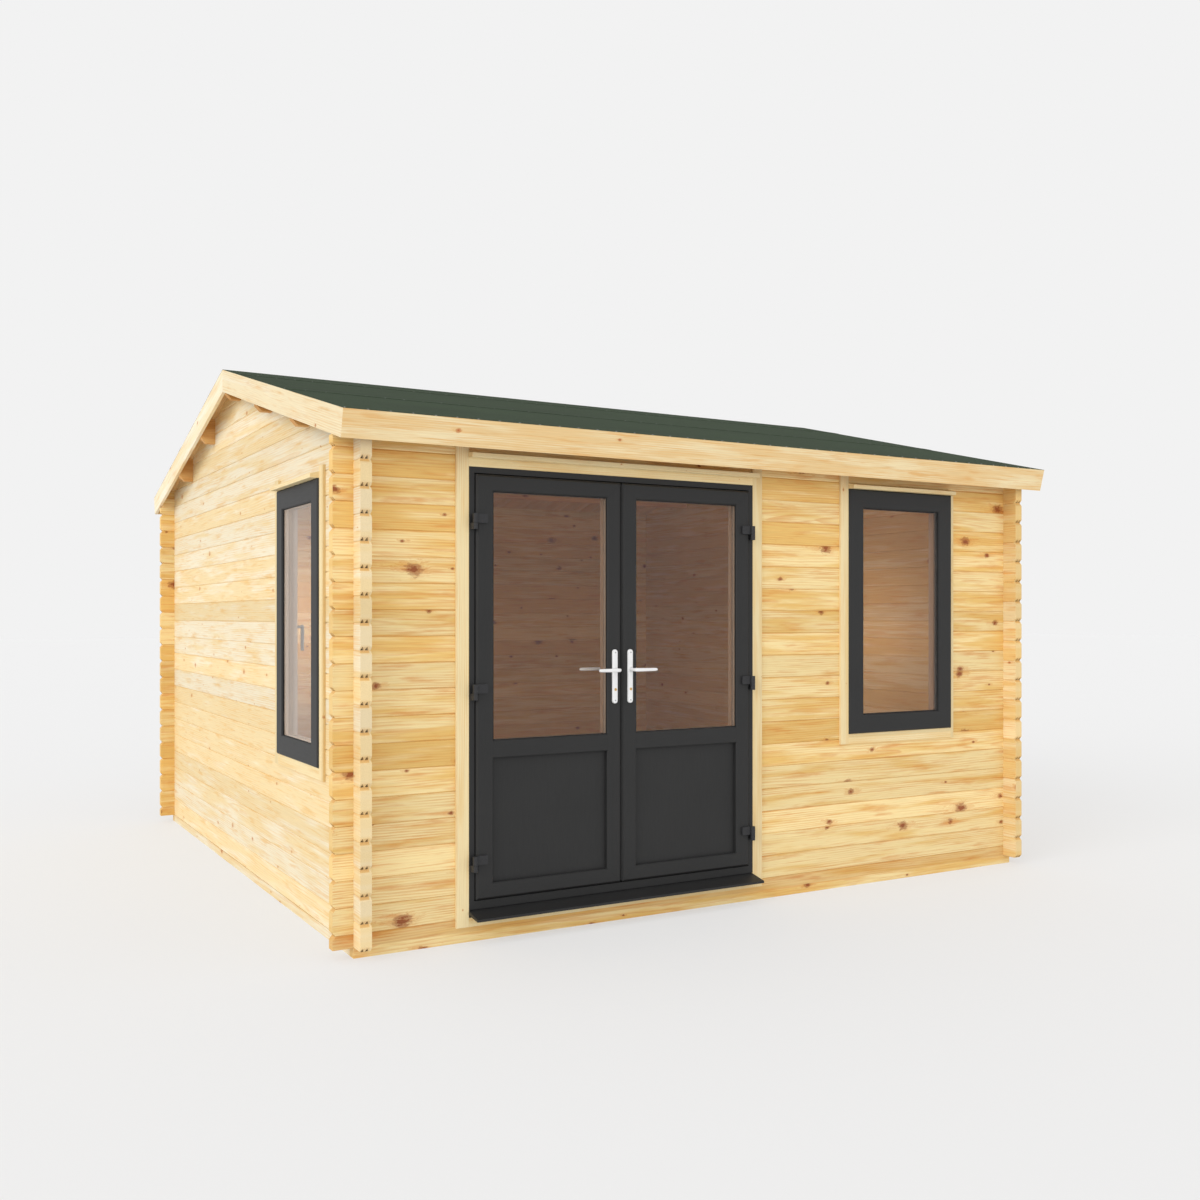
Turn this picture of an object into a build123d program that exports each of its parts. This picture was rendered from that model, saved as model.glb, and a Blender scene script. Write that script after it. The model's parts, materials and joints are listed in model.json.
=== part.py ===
from build123d import *
import os
from math import ceil, cos, floor, radians, tan

# Log cabin with a low gable roof, a glazed double door and two windows.
# Millimetres. The origin is the centre of the footprint at ground level, +Z up.
# The door is in the front wall, which faces -Y. The ridge runs along X.

# ---- driving dimensions ---------------------------------------------------

# walls of interlocking logs
cabin_width = 4000
cabin_depth = 4000
log_height = 115
wall_thickness = 50
log_overhang = 91
groove_depth = 4
end_chamfer_depth = 14
end_chamfer_height = 17
side_wall_logs = 18
front_wall_logs = 18
eaves_log_height = 156
joint_snap = 0.01

# tongue-and-groove gaps that show in the end of each log
gap_width = 9
gap_height = 11
gap_depth = 12
gap_lift = 3
gap_insets = (10, 30)

# base and floor
bearer_height = 45
bearer_width = 50
joist_width = 45
joist_count = 7
floor_thickness = 19
floor_clearance = 5

# roof
roof_pitch = 14
eaves_overhang = 170
gable_overhang = 100
felt_thickness = 3
board_thickness = 19
edge_board_height = 124
edge_board_thickness = 18
ridge_joint = 1
edge_board_clearance = 0.3
purlin_height = 145
purlin_width = 45
purlin_spacing = 667
purlins_each_side = 2
purlin_end_chamfer = 28

# door frame: its place from the left corner, its width and the gap over it
door_inset = 525.5
door_frame_width = 1574
door_head_gap = 49.5
frame_clearance = 7
door_frame_proud = 15
door_frame_depth = 75
jamb_width = 26
head_height = 27.5
stop_width = 20
sill_top = 146
sill_nose_reach = 110
sill_nose_height = 11
sill_underside = 125
sill_nose_underside = 110
sill_joint_height = 5
sill_joint_depth = 8
threshold_height = 36
threshold_stop_height = 20

# door leaves
leaf_proud = 30
leaf_thickness = 68
leaf_gap = 5
leaf_meeting_gap = 8
swing_relief = 3
leaf_rim_bevel = 9
opening_bevel = 5
lock_stile_width = 77
hinge_stile_width = 83
top_rail_height = 75
bottom_rail_height = 71
mid_rail_bottom = 816
mid_rail_height = 81
glass_setback = 10
leaf_glass_thickness = 24
panel_setback = 22
panel_thickness = 24

# hinges, three on each leaf: a flag over a lower knuckle
hinge_heights = (352, 1116, 1877)
hinge_height = 70
hinge_flag_height = 41
hinge_flag_thickness = 10
hinge_flag_reach = 63
hinge_flag_corner = 6
hinge_pin_radius = 5
hinge_barrel_radius = 12
hinge_pin_clearance = 0.5
hinge_axis_proud = 12.5
hinge_axis_offset = 11.5
hinge_knuckle_gap = 1
hinge_arm_width = 18

# handles and locks
handle_plate_width = 27
handle_plate_bottom = 1040
handle_plate_height = 257
handle_plate_thickness = 11
handle_plate_corner = 13
lever_height = 1200
lever_length = 118
lever_bar_height = 18
lever_bar_corner = 8
lever_bar_thickness = 12
lever_stand_off = 68
lever_neck_radius = 8
lever_neck_clearance = 1
lock_height = 1107
lock_radius = 6.5
lock_clearance = 0.2
lock_proud = 2

# boards around the door and windows
door_trim_width = 60
door_trim_thickness = 15
door_trim_bottom = 70
trim_head_gap = 5
head_casing_height = 37
cap_reach = 55
cap_edge_height = 21
cap_rise = 7
door_cap_extra = 15
casing_width = 60
casing_thickness = 12

# windows: place from the nearest corner, size, gap over the frame
front_window_inset = 495
front_window_width = 761
front_window_height = 1320
front_window_head_gap = 31.5
front_window_trim_width = 55
front_window_bead_width = 22
left_window_inset = 451
left_window_width = 699
left_window_height = 1327
left_window_head_gap = 28
left_window_trim_width = 60
left_window_trim_rise = 55
window_sill_logs = 6
window_clearance = 7
window_frame_border = 100
window_frame_proud = 22
window_frame_depth = 80
window_frame_bevel = 6
window_glass_setback = 10
window_glass_thickness = 24
window_handle_height = 1400
window_handle_length = 130
window_handle_width = 20
window_handle_thickness = 12
window_handle_stand_off = 45
window_handle_corner = 8
window_handle_neck_radius = 7
window_rose_width = 28
window_rose_height = 65
window_rose_thickness = 9
window_rose_corner = 10
window_trim_thickness = 13
window_ledge_edge = 19
window_ledge_rise = 14
window_foot_trim_height = 54

# ---- dimensions that follow -------------------------------------------------

half_width = cabin_width / 2
half_depth = cabin_depth / 2
side_logs_bottom = bearer_height
front_logs_bottom = bearer_height + log_height / 2
side_wall_top = side_logs_bottom + side_wall_logs * log_height
front_wall_top_z = front_logs_bottom + front_wall_logs * log_height
slope = tan(radians(roof_pitch))
eaves_underside = front_wall_top_z + eaves_log_height
roof_skin_drop = (felt_thickness + board_thickness) / cos(radians(roof_pitch))
ridge_height = eaves_underside + half_depth * slope + roof_skin_drop
rafter_length = (half_depth + eaves_overhang) / cos(radians(roof_pitch))
roof_half_length = half_width + gable_overhang
inner_roof_half_length = roof_half_length - edge_board_thickness


def roof_underside(distance):
    """Height of the roof boards' underside at a distance from the ridge."""
    return ridge_height - roof_skin_drop - distance * slope


# ---- small builders -----------------------------------------------------------


def save(builder, name):
    """Label a finished piece and write its STEP file."""
    builder.part.label = name
    export_step(builder.part, f"parts/{name}.step")


def add_block(low, high):
    """Add a square-edged block between two corners to the part being built."""
    with Locations(tuple((a + b) / 2 for a, b in zip(low, high))):
        Box(*(b - a for a, b in zip(low, high)))


class Wall:
    """One side of the cabin: a plane across the wall and a plane on its outer face.

    The section plane reads (distance inward, height) and its normal runs along the
    wall. The face plane reads (distance along the wall, height) and looks outward.
    """

    def __init__(self, origin, along, inward, length, logs_bottom):
        outward = tuple(-value for value in inward)
        self.section = Plane(origin=origin, x_dir=inward, z_dir=along)
        self.face = Plane(origin=origin, x_dir=along, z_dir=outward)
        self.outward = Axis((0, 0, 0), outward)
        self.end = length / 2 + log_overhang
        self.corner = length / 2
        self.logs_bottom = logs_bottom

    def joints(self, bottom, top):
        """Heights of the joints between logs from one height to another."""
        first = ceil((bottom - self.logs_bottom) / log_height - joint_snap)
        last = floor((top - self.logs_bottom) / log_height + joint_snap)
        return [self.logs_bottom + i * log_height for i in range(first, last + 1)]


front = Wall((0, -half_depth, 0), (1, 0, 0), (0, 1, 0), cabin_width, front_logs_bottom)
back = Wall((0, half_depth, 0), (-1, 0, 0), (0, -1, 0), cabin_width, front_logs_bottom)
left = Wall((-half_width, 0, 0), (0, -1, 0), (1, 0, 0), cabin_depth, side_logs_bottom)
right = Wall((half_width, 0, 0), (0, 1, 0), (-1, 0, 0), cabin_depth, side_logs_bottom)


def cut_grooves(wall, bottom, top):
    """Cut a V at each joint between logs into both faces of a wall's section."""
    g = groove_depth
    heights = wall.joints(bottom, top)
    with Locations(*((0, z) for z in heights)):
        Polygon((0, -g), (g, 0), (0, g), align=None, mode=Mode.SUBTRACT)
    with Locations(*((wall_thickness, z) for z in heights)):
        Polygon((0, g), (-g, 0), (0, -g), align=None, mode=Mode.SUBTRACT)


def cut_end_chamfers(wall, side, bottom, top):
    """Bevel the log ends at each joint at one end of a wall (side -1 or 1)."""
    depth = end_chamfer_depth
    height = end_chamfer_height
    corners = [(0, -height), (0, height), (-depth, 0)]
    if side < 0:
        corners = [(-x, y) for x, y in corners[::-1]]
    with Locations(*((side * wall.end, z) for z in wall.joints(bottom, top))):
        Polygon(*corners, align=None, mode=Mode.SUBTRACT)


def cut_necks(wall, other, side, bottom, top):
    """Notch a corner where the crossing wall's logs pass, half a log high each."""
    height = log_height / 2
    joints = other.joints(bottom - log_height, top)
    with Locations(*((side * (wall.corner - wall_thickness / 2), z + height) for z in joints)):
        Rectangle(wall_thickness, height, mode=Mode.SUBTRACT)


def cut_log_gaps(wall, side, bottom, top):
    """Sink the tongue-and-groove gaps into the log ends at one end of a wall."""
    joints = [z for z in wall.joints(bottom, top) if z < top - 2 * end_chamfer_height]
    if not joints:
        return
    with BuildSketch(wall.section.offset(side * wall.end)) as gaps:
        for z in joints:
            low = z + gap_lift
            for inset in gap_insets:
                with BuildLine():
                    Polyline(
                        (inset - gap_width / 2, low),
                        (inset + gap_width / 2, low),
                        (inset, low + gap_height),
                        close=True,
                    )
                make_face()
    extrude(gaps.sketch, amount=-side * (end_chamfer_depth + gap_depth), mode=Mode.SUBTRACT)


def log_wall(wall, start, end, bottom, top, crossing=None, tops=None, outline=None, notches=()):
    """A stretch of log wall between two places along it and two heights.

    A start or end of None runs to the log ends. tops gives the heights of a bevelled
    top at the outer and inner face, outline a top line other than level, and notches
    are rectangles (start, end, bottom, top) left out.
    """
    outer_top, inner_top = tops or (top, top)
    highest = max(outer_top, inner_top)
    first = -wall.end if start is None else start
    last = wall.end if end is None else end
    with BuildPart() as panel:
        with BuildSketch(wall.section.offset(first)):
            with BuildLine():
                Polyline(
                    (0, bottom),
                    (0, outer_top),
                    (wall_thickness, inner_top),
                    (wall_thickness, bottom),
                    close=True,
                )
            make_face()
            cut_grooves(wall, bottom, min(outer_top, inner_top))
        extrude(amount=last - first)
        with BuildSketch(wall.face):
            with Locations(((first + last) / 2, (bottom + highest) / 2)):
                Rectangle(last - first, highest - bottom)
            if outline:
                with BuildLine():
                    Polyline(*outline, close=True)
                make_face(mode=Mode.INTERSECT)
            for n_start, n_end, n_bottom, n_top in notches:
                with Locations(((n_start + n_end) / 2, (n_bottom + n_top) / 2)):
                    Rectangle(n_end - n_start, n_top - n_bottom, mode=Mode.SUBTRACT)
            if start is None:
                cut_end_chamfers(wall, -1, bottom, highest)
                cut_necks(wall, crossing, -1, bottom, highest)
            if end is None:
                cut_end_chamfers(wall, 1, bottom, highest)
                cut_necks(wall, crossing, 1, bottom, highest)
        extrude(amount=-wall_thickness, mode=Mode.INTERSECT)
        if start is None:
            cut_log_gaps(wall, -1, bottom, outer_top)
        if end is None:
            cut_log_gaps(wall, 1, bottom, outer_top)
    return panel


# ---- openings in the walls ------------------------------------------------------

door_left = -half_width + door_inset
door_right = door_left + door_frame_width
door_centre = (door_left + door_right) / 2
door_frame_top = front_wall_top_z - door_head_gap
door_opening = (
    door_left - frame_clearance,
    door_right + frame_clearance,
    front_logs_bottom,
    front_wall_top_z,
)
front_window_end = half_width - front_window_inset
front_window_start = front_window_end - front_window_width
front_window_opening = (
    front_window_start - window_clearance,
    front_window_end + window_clearance,
    front_logs_bottom + window_sill_logs * log_height,
    front_wall_top_z,
)
front_window_bottom = front_wall_top_z - front_window_head_gap - front_window_height
# the left wall is read from the back corner to the front corner
left_window_end = half_depth - left_window_inset
left_window_start = left_window_end - left_window_width
left_window_opening = (
    left_window_start - window_clearance,
    left_window_end + window_clearance,
    side_logs_bottom + window_sill_logs * log_height,
    side_wall_top,
)
left_window_bottom = side_wall_top - left_window_head_gap - left_window_height

# ---- front and back walls ---------------------------------------------------------

os.makedirs("parts", exist_ok=True)

eaves_tops = (eaves_underside, roof_underside(half_depth - wall_thickness))

# the top logs are cut back where they pass behind the barge boards
edge_board_bottom = ridge_height - half_depth * slope - edge_board_height / cos(radians(roof_pitch))
cut_back = inner_roof_half_length - edge_board_clearance
top_log_cuts = [
    (min(end * cut_back, end * roof_half_length), max(end * cut_back, end * roof_half_length))
    + (edge_board_bottom - edge_board_clearance, ridge_height)
    for end in (-1, 1)
]

front_sole_log = log_wall(front, None, None, bearer_height, front_logs_bottom, crossing=left)
save(front_sole_log, "front_sole_log")

front_wall_left = log_wall(
    front, None, door_opening[0], front_logs_bottom, front_wall_top_z, crossing=left
)
save(front_wall_left, "front_wall_left")

front_wall_middle = log_wall(
    front, door_opening[1], front_window_opening[0], front_logs_bottom, front_wall_top_z
)
save(front_wall_middle, "front_wall_middle")

front_wall_right = log_wall(
    front, front_window_opening[1], None, front_logs_bottom, front_wall_top_z, crossing=right
)
save(front_wall_right, "front_wall_right")

front_wall_under_window = log_wall(
    front,
    front_window_opening[0],
    front_window_opening[1],
    front_logs_bottom,
    front_window_opening[2],
)
save(front_wall_under_window, "front_wall_under_window")

front_wall_top = log_wall(
    front,
    None,
    None,
    front_wall_top_z,
    None,
    crossing=left,
    tops=eaves_tops,
    notches=top_log_cuts,
)
save(front_wall_top, "front_wall_top")

back_wall = log_wall(
    back,
    None,
    None,
    bearer_height,
    None,
    crossing=right,
    tops=eaves_tops,
    notches=top_log_cuts,
)
save(back_wall, "back_wall")

# ---- side walls and gables ----------------------------------------------------------

left_wall_lower = log_wall(
    left, None, None, bearer_height, left_window_opening[2], crossing=front
)
save(left_wall_lower, "left_wall_lower")

left_wall_back = log_wall(
    left, None, left_window_opening[0], left_window_opening[2], side_wall_top, crossing=front
)
save(left_wall_back, "left_wall_back")

left_wall_front = log_wall(
    left, left_window_opening[1], None, left_window_opening[2], side_wall_top, crossing=front
)
save(left_wall_front, "left_wall_front")

right_wall = log_wall(right, None, None, bearer_height, side_wall_top, crossing=front)
save(right_wall, "right_wall")

gable_peak = roof_underside(0)
gable_foot = roof_underside(half_depth + log_overhang)
gable_end = half_depth + log_overhang
gable_outline = (
    (-gable_end, side_wall_top),
    (-gable_end, gable_foot),
    (0, gable_peak),
    (gable_end, gable_foot),
    (gable_end, side_wall_top),
)
purlin_places = [i * purlin_spacing for i in range(-purlins_each_side, purlins_each_side + 1)]
purlin_notches = [
    (
        place - purlin_width / 2,
        place + purlin_width / 2,
        roof_underside(abs(place)) - purlin_height,
        gable_peak,
    )
    for place in purlin_places
]


def gable(wall):
    """The log triangle over a side wall, cut to the roof and notched for the purlins."""
    return log_wall(
        wall,
        None,
        None,
        side_wall_top,
        gable_peak,
        crossing=front,
        outline=gable_outline,
        notches=purlin_notches,
    )


left_gable = gable(left)
save(left_gable, "left_gable")

right_gable = gable(right)
save(right_gable, "right_gable")

# ---- base and floor -------------------------------------------------------------------

with BuildPart() as cross_bearers:
    for side in (-1, 1):
        outer = side * half_depth
        inner = side * (half_depth - bearer_width)
        add_block(
            (-half_width, min(outer, inner), 0), (half_width, max(outer, inner), bearer_height)
        )
save(cross_bearers, "cross_bearers")

bearer_inside = half_depth - bearer_width
with BuildPart() as side_bearers:
    for side in (-1, 1):
        outer = side * half_width
        inner = side * (half_width - bearer_width)
        add_block(
            (min(outer, inner), -bearer_inside, 0), (max(outer, inner), bearer_inside, bearer_height)
        )
save(side_bearers, "side_bearers")

joist_spacing = (cabin_width - 2 * bearer_width) / (joist_count + 1)
with BuildPart() as floor_joists:
    for i in range(joist_count):
        x = -half_width + bearer_width + (i + 1) * joist_spacing
        add_block(
            (x - joist_width / 2, -bearer_inside, 0), (x + joist_width / 2, bearer_inside, bearer_height)
        )
save(floor_joists, "floor_joists")

floor_half_width = half_width - wall_thickness - floor_clearance
floor_half_depth = half_depth - wall_thickness - floor_clearance
with BuildPart() as floor_boards:
    add_block(
        (-floor_half_width, -floor_half_depth, bearer_height),
        (floor_half_width, floor_half_depth, bearer_height + floor_thickness),
    )
save(floor_boards, "floor_boards")

# ---- roof -----------------------------------------------------------------------------


def slope_plane(side):
    """Plane on top of the felt of one slope: x along the ridge, y down the slope."""
    return Plane(origin=(0, 0, ridge_height), x_dir=(side, 0, 0), z_dir=(0, side * slope, 1))


def roof_half(side, name, depth, thickness, half_length, reach):
    """One slope's flat layer: a slab under the felt's top, ended at the ridge line."""
    with BuildPart() as layer:
        with BuildSketch(slope_plane(side).offset(-depth)):
            with Locations((0, (reach - thickness - depth) / 2)):
                Rectangle(2 * half_length, reach + thickness + depth)
        extrude(amount=-thickness)
        split(bisect_by=Plane.XZ, keep=Keep.BOTTOM if side > 0 else Keep.TOP)
    save(layer, name)
    return layer


board_reach = rafter_length - edge_board_thickness
front_roof_boards = roof_half(
    -1, "front_roof_boards", felt_thickness, board_thickness, inner_roof_half_length, board_reach
)
back_roof_boards = roof_half(
    1, "back_roof_boards", felt_thickness, board_thickness, inner_roof_half_length, board_reach
)

felt_edge = half_depth + eaves_overhang
felt_drop = felt_thickness / cos(radians(roof_pitch))
eaves_height = ridge_height - felt_edge * slope
felt_lap_y = felt_edge - felt_thickness * slope * cos(radians(roof_pitch))
felt_lap_z = eaves_height - felt_thickness * cos(radians(roof_pitch))
with BuildPart() as roof_felt:
    with BuildSketch(Plane.YZ.offset(-roof_half_length)):
        with BuildLine():
            Polyline(
                (-felt_edge, eaves_height),
                (0, ridge_height),
                (felt_edge, eaves_height),
                (felt_lap_y, felt_lap_z),
                (0, ridge_height - felt_drop),
                (-felt_lap_y, felt_lap_z),
                close=True,
            )
        make_face()
    extrude(amount=2 * roof_half_length)
save(roof_felt, "roof_felt")

edge_drop = edge_board_height - felt_thickness
with BuildPart() as eaves_fascias:
    for side in (-1, 1):
        with BuildSketch(slope_plane(side).offset(-felt_thickness)):
            with BuildLine():
                Polyline(
                    (-roof_half_length, rafter_length),
                    (roof_half_length, rafter_length),
                    (inner_roof_half_length, board_reach),
                    (-inner_roof_half_length, board_reach),
                    close=True,
                )
            make_face()
        extrude(amount=-edge_drop)
save(eaves_fascias, "eaves_fascias")

ridge_lead = edge_board_height * slope


def barge_pair(side):
    """The edge boards at both ends of one slope, mitred to the fascia."""
    with BuildPart() as pair:
        with BuildSketch(slope_plane(side).offset(-felt_thickness)):
            for end in (-1, 1):
                with BuildLine():
                    Polyline(
                        (end * roof_half_length, -ridge_lead),
                        (end * roof_half_length, rafter_length),
                        (end * inner_roof_half_length, board_reach),
                        (end * inner_roof_half_length, -ridge_lead),
                        close=True,
                    )
                make_face()
        extrude(amount=-edge_drop)
        split(
            bisect_by=Plane.XZ.offset(-side * ridge_joint / 2),
            keep=Keep.BOTTOM if side > 0 else Keep.TOP,
        )
    return pair


with BuildPart() as barge_boards:
    add(barge_pair(-1).part)
    add(barge_pair(1).part)
save(barge_boards, "barge_boards")

with BuildPart() as purlins:
    for place in purlin_places:
        low = roof_underside(abs(place)) - purlin_height
        near = place - purlin_width / 2
        far = place + purlin_width / 2
        tops = [(far, roof_underside(abs(far))), (near, roof_underside(abs(near)))]
        if place == 0:
            tops.insert(1, (0, gable_peak))
        with BuildSketch(Plane.YZ.offset(-inner_roof_half_length)):
            with BuildLine():
                Polyline((near, low), (far, low), *tops, close=True)
            make_face()
        extrude(amount=2 * inner_roof_half_length)
    ends = purlins.faces().filter_by(Axis.X)
    lower_ends = [end.edges().sort_by(Axis.Z)[0] for end in ends]
    chamfer(lower_ends, purlin_end_chamfer)
save(purlins, "purlins")

# ---- door frame -------------------------------------------------------------------------

door_face = -half_depth - door_frame_proud
door_frame_back = door_face + door_frame_depth
leaf_face = -half_depth - leaf_proud
leaf_back = leaf_face + leaf_thickness
stop_face = leaf_back + leaf_gap
rebate_left = door_left + jamb_width
rebate_right = door_right - jamb_width
stop_left = rebate_left + stop_width
stop_right = rebate_right - stop_width
head_bottom = door_frame_top - head_height
threshold_top = sill_top + threshold_height
threshold_stop_top = threshold_top + threshold_stop_height
nose_face = -half_depth - sill_nose_reach

with BuildPart() as door_sill:
    with BuildSketch(Plane.YZ.offset(door_left)):
        with BuildLine():
            Polyline(
                (door_frame_back, front_logs_bottom),
                (-half_depth, front_logs_bottom),
                (-half_depth, sill_underside),
                (nose_face, sill_nose_underside),
                (nose_face, sill_nose_underside + sill_nose_height),
                (door_face, sill_top - sill_joint_height),
                (door_face + sill_joint_depth, sill_top - sill_joint_height),
                (door_face + sill_joint_depth, sill_top),
                (stop_face, sill_top),
                (stop_face, threshold_stop_top),
                (door_frame_back, threshold_stop_top),
                close=True,
            )
        make_face()
    extrude(amount=door_frame_width)
    add_block((rebate_left, door_face, sill_top), (rebate_right, stop_face, threshold_top))
save(door_sill, "door_sill")

with BuildPart() as door_jambs:
    for outer, rebate, stop in (
        (door_left, rebate_left, stop_left),
        (door_right, rebate_right, stop_right),
    ):
        with BuildSketch(Plane.XY.offset(sill_top)):
            with BuildLine():
                Polyline(
                    (outer, door_face),
                    (rebate, door_face),
                    (rebate, stop_face),
                    (outer, stop_face),
                    close=True,
                )
            make_face()
        extrude(amount=door_frame_top - sill_top)
        with BuildSketch(Plane.XY.offset(threshold_stop_top)):
            with BuildLine():
                Polyline(
                    (outer, stop_face),
                    (stop, stop_face),
                    (stop, door_frame_back),
                    (outer, door_frame_back),
                    close=True,
                )
            make_face()
        extrude(amount=door_frame_top - threshold_stop_top)
save(door_jambs, "door_jambs")

with BuildPart() as door_head:
    add_block((rebate_left, door_face, head_bottom), (rebate_right, stop_face, door_frame_top))
    add_block(
        (stop_left, stop_face, head_bottom - stop_width + leaf_gap),
        (stop_right, door_frame_back, door_frame_top),
    )
save(door_head, "door_head")

# ---- door leaves ----------------------------------------------------------------------------

leaf_outer_edge = door_frame_width / 2 - jamb_width - leaf_gap
leaf_meeting_edge = leaf_meeting_gap / 2
leaf_bottom = threshold_top + leaf_gap
leaf_top = head_bottom - leaf_gap
leaf_width = leaf_outer_edge - leaf_meeting_edge
leaf_middle = (leaf_outer_edge + leaf_meeting_edge) / 2
clear_width = leaf_width - lock_stile_width - hinge_stile_width
clear_middle = leaf_meeting_edge + lock_stile_width + clear_width / 2
panel_bottom = leaf_bottom + bottom_rail_height
glass_bottom = mid_rail_bottom + mid_rail_height
glass_top = leaf_top - top_rail_height
hinge_x = leaf_outer_edge + hinge_axis_offset
hinge_y = leaf_face - hinge_axis_proud
handle_x = leaf_meeting_edge + lock_stile_width / 2


def leaf_plane(depth):
    """Upright plane at a depth behind the leaves' outer face, centred on the door."""
    return Plane(origin=(door_centre, leaf_face + depth, 0), x_dir=(1, 0, 0), z_dir=(0, -1, 0))


def bevel_face(face, rim_bevel):
    """Bevel the rim of a frame's outer face and the straight edges of its openings."""
    rims = [wire.edges().filter_by(GeomType.LINE) for wire in face.inner_wires()]
    for rim in rims:
        if rim:
            chamfer(rim, opening_bevel)
    chamfer(face.outer_wire().edges(), rim_bevel)


def leaf_frame(side):
    """Stiles and three rails of one leaf, with a bored lock stile and bevelled rims."""
    with BuildPart() as frame:
        with BuildSketch(leaf_plane(0)):
            with Locations((side * leaf_middle, (leaf_bottom + leaf_top) / 2)):
                Rectangle(leaf_width, leaf_top - leaf_bottom)
            with Locations((side * clear_middle, (glass_bottom + glass_top) / 2)):
                Rectangle(clear_width, glass_top - glass_bottom, mode=Mode.SUBTRACT)
            with Locations((side * clear_middle, (panel_bottom + mid_rail_bottom) / 2)):
                Rectangle(clear_width, mid_rail_bottom - panel_bottom, mode=Mode.SUBTRACT)
            with Locations((side * handle_x, lever_height)):
                Circle(lever_neck_radius + lever_neck_clearance, mode=Mode.SUBTRACT)
            with Locations((side * handle_x, lock_height)):
                Circle(lock_radius + lock_clearance, mode=Mode.SUBTRACT)
        extrude(amount=-leaf_thickness)
        bevel_face(frame.faces().sort_by(Axis.Y)[0], leaf_rim_bevel)
        edge = door_centre + side * leaf_meeting_edge
        with BuildSketch(Plane.XY.offset(leaf_bottom)):
            with BuildLine():
                Polyline(
                    (edge, leaf_face),
                    (edge, leaf_back),
                    (edge + side * swing_relief, leaf_back),
                    close=True,
                )
            make_face()
        extrude(amount=leaf_top - leaf_bottom, mode=Mode.SUBTRACT)
    return frame


def leaf_infill(side, bottom, top, setback, thickness):
    """A pane or panel that fills an opening of a leaf."""
    with BuildPart() as infill:
        with BuildSketch(leaf_plane(setback)):
            with Locations((side * clear_middle, (bottom + top) / 2)):
                Rectangle(clear_width, top - bottom)
        extrude(amount=-thickness)
    return infill


def leaf_hinges(side):
    """The leaf's half of three hinges: a flag on the leaf with the upper knuckle."""
    with BuildPart() as hinges:
        for height in hinge_heights:
            flag_middle = height + (hinge_height - hinge_flag_height) / 2
            with BuildSketch(leaf_plane(0)) as flag:
                with Locations((side * (hinge_x - hinge_flag_reach / 2), flag_middle)):
                    Rectangle(hinge_flag_reach, hinge_flag_height)
                ends = flag.vertices().group_by(Axis.X)
                fillet(ends[0] if side > 0 else ends[-1], hinge_flag_corner)
            extrude(amount=hinge_flag_thickness)
            for radius, mode in (
                (hinge_barrel_radius, Mode.ADD),
                (hinge_pin_radius + hinge_pin_clearance, Mode.SUBTRACT),
            ):
                with BuildSketch(Plane.XY.offset(flag_middle - hinge_flag_height / 2)):
                    with Locations((door_centre + side * hinge_x, hinge_y)):
                        Circle(radius)
                extrude(amount=hinge_flag_height, mode=mode)
    return hinges


def leaf_plates(side):
    """Long plates on both faces of the lock stile, open around neck and lock."""
    with BuildPart() as plates:
        for depth in (-handle_plate_thickness, leaf_thickness):
            with BuildSketch(leaf_plane(depth)):
                middle = handle_plate_bottom + handle_plate_height / 2
                with Locations((side * handle_x, middle)):
                    RectangleRounded(handle_plate_width, handle_plate_height, handle_plate_corner)
                with Locations((side * handle_x, lever_height)):
                    Circle(lever_neck_radius + lever_neck_clearance, mode=Mode.SUBTRACT)
                with Locations((side * handle_x, lock_height)):
                    Circle(lock_radius + lock_clearance, mode=Mode.SUBTRACT)
            extrude(amount=-handle_plate_thickness)
    return plates


def leaf_lock(side):
    """The lock cylinder through the stile and both plates."""
    with BuildPart() as lock:
        with BuildSketch(leaf_plane(-handle_plate_thickness - lock_proud)):
            with Locations((side * handle_x, lock_height)):
                Circle(lock_radius)
        extrude(amount=-(leaf_thickness + 2 * (handle_plate_thickness + lock_proud)))
    return lock


def lever(side):
    """A lever on each face of the leaf, joined by one round neck."""
    far = side * (handle_x + lever_length)
    near = side * (handle_x - lever_neck_radius)
    with BuildPart() as handle:
        with BuildSketch(leaf_plane(-lever_stand_off)):
            with Locations((side * handle_x, lever_height)):
                Circle(lever_neck_radius)
        extrude(amount=-(leaf_thickness + 2 * lever_stand_off))
        for depth in (-lever_stand_off, leaf_thickness + lever_stand_off - lever_bar_thickness):
            with BuildSketch(leaf_plane(depth)):
                with Locations(((far + near) / 2, lever_height)):
                    RectangleRounded(abs(far - near), lever_bar_height, lever_bar_corner)
            extrude(amount=-lever_bar_thickness)
    return handle


for side, name in ((-1, "left"), (1, "right")):
    save(leaf_frame(side), f"{name}_leaf_frame")
    glass = leaf_infill(side, glass_bottom, glass_top, glass_setback, leaf_glass_thickness)
    save(glass, f"{name}_leaf_glass")
    panel = leaf_infill(side, panel_bottom, mid_rail_bottom, panel_setback, panel_thickness)
    save(panel, f"{name}_leaf_panel")
    save(leaf_hinges(side), f"{name}_leaf_hinges")
    save(leaf_plates(side), f"{name}_leaf_plates")
    save(leaf_lock(side), f"{name}_leaf_lock")
    save(lever(side), f"{name}_lever")

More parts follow.
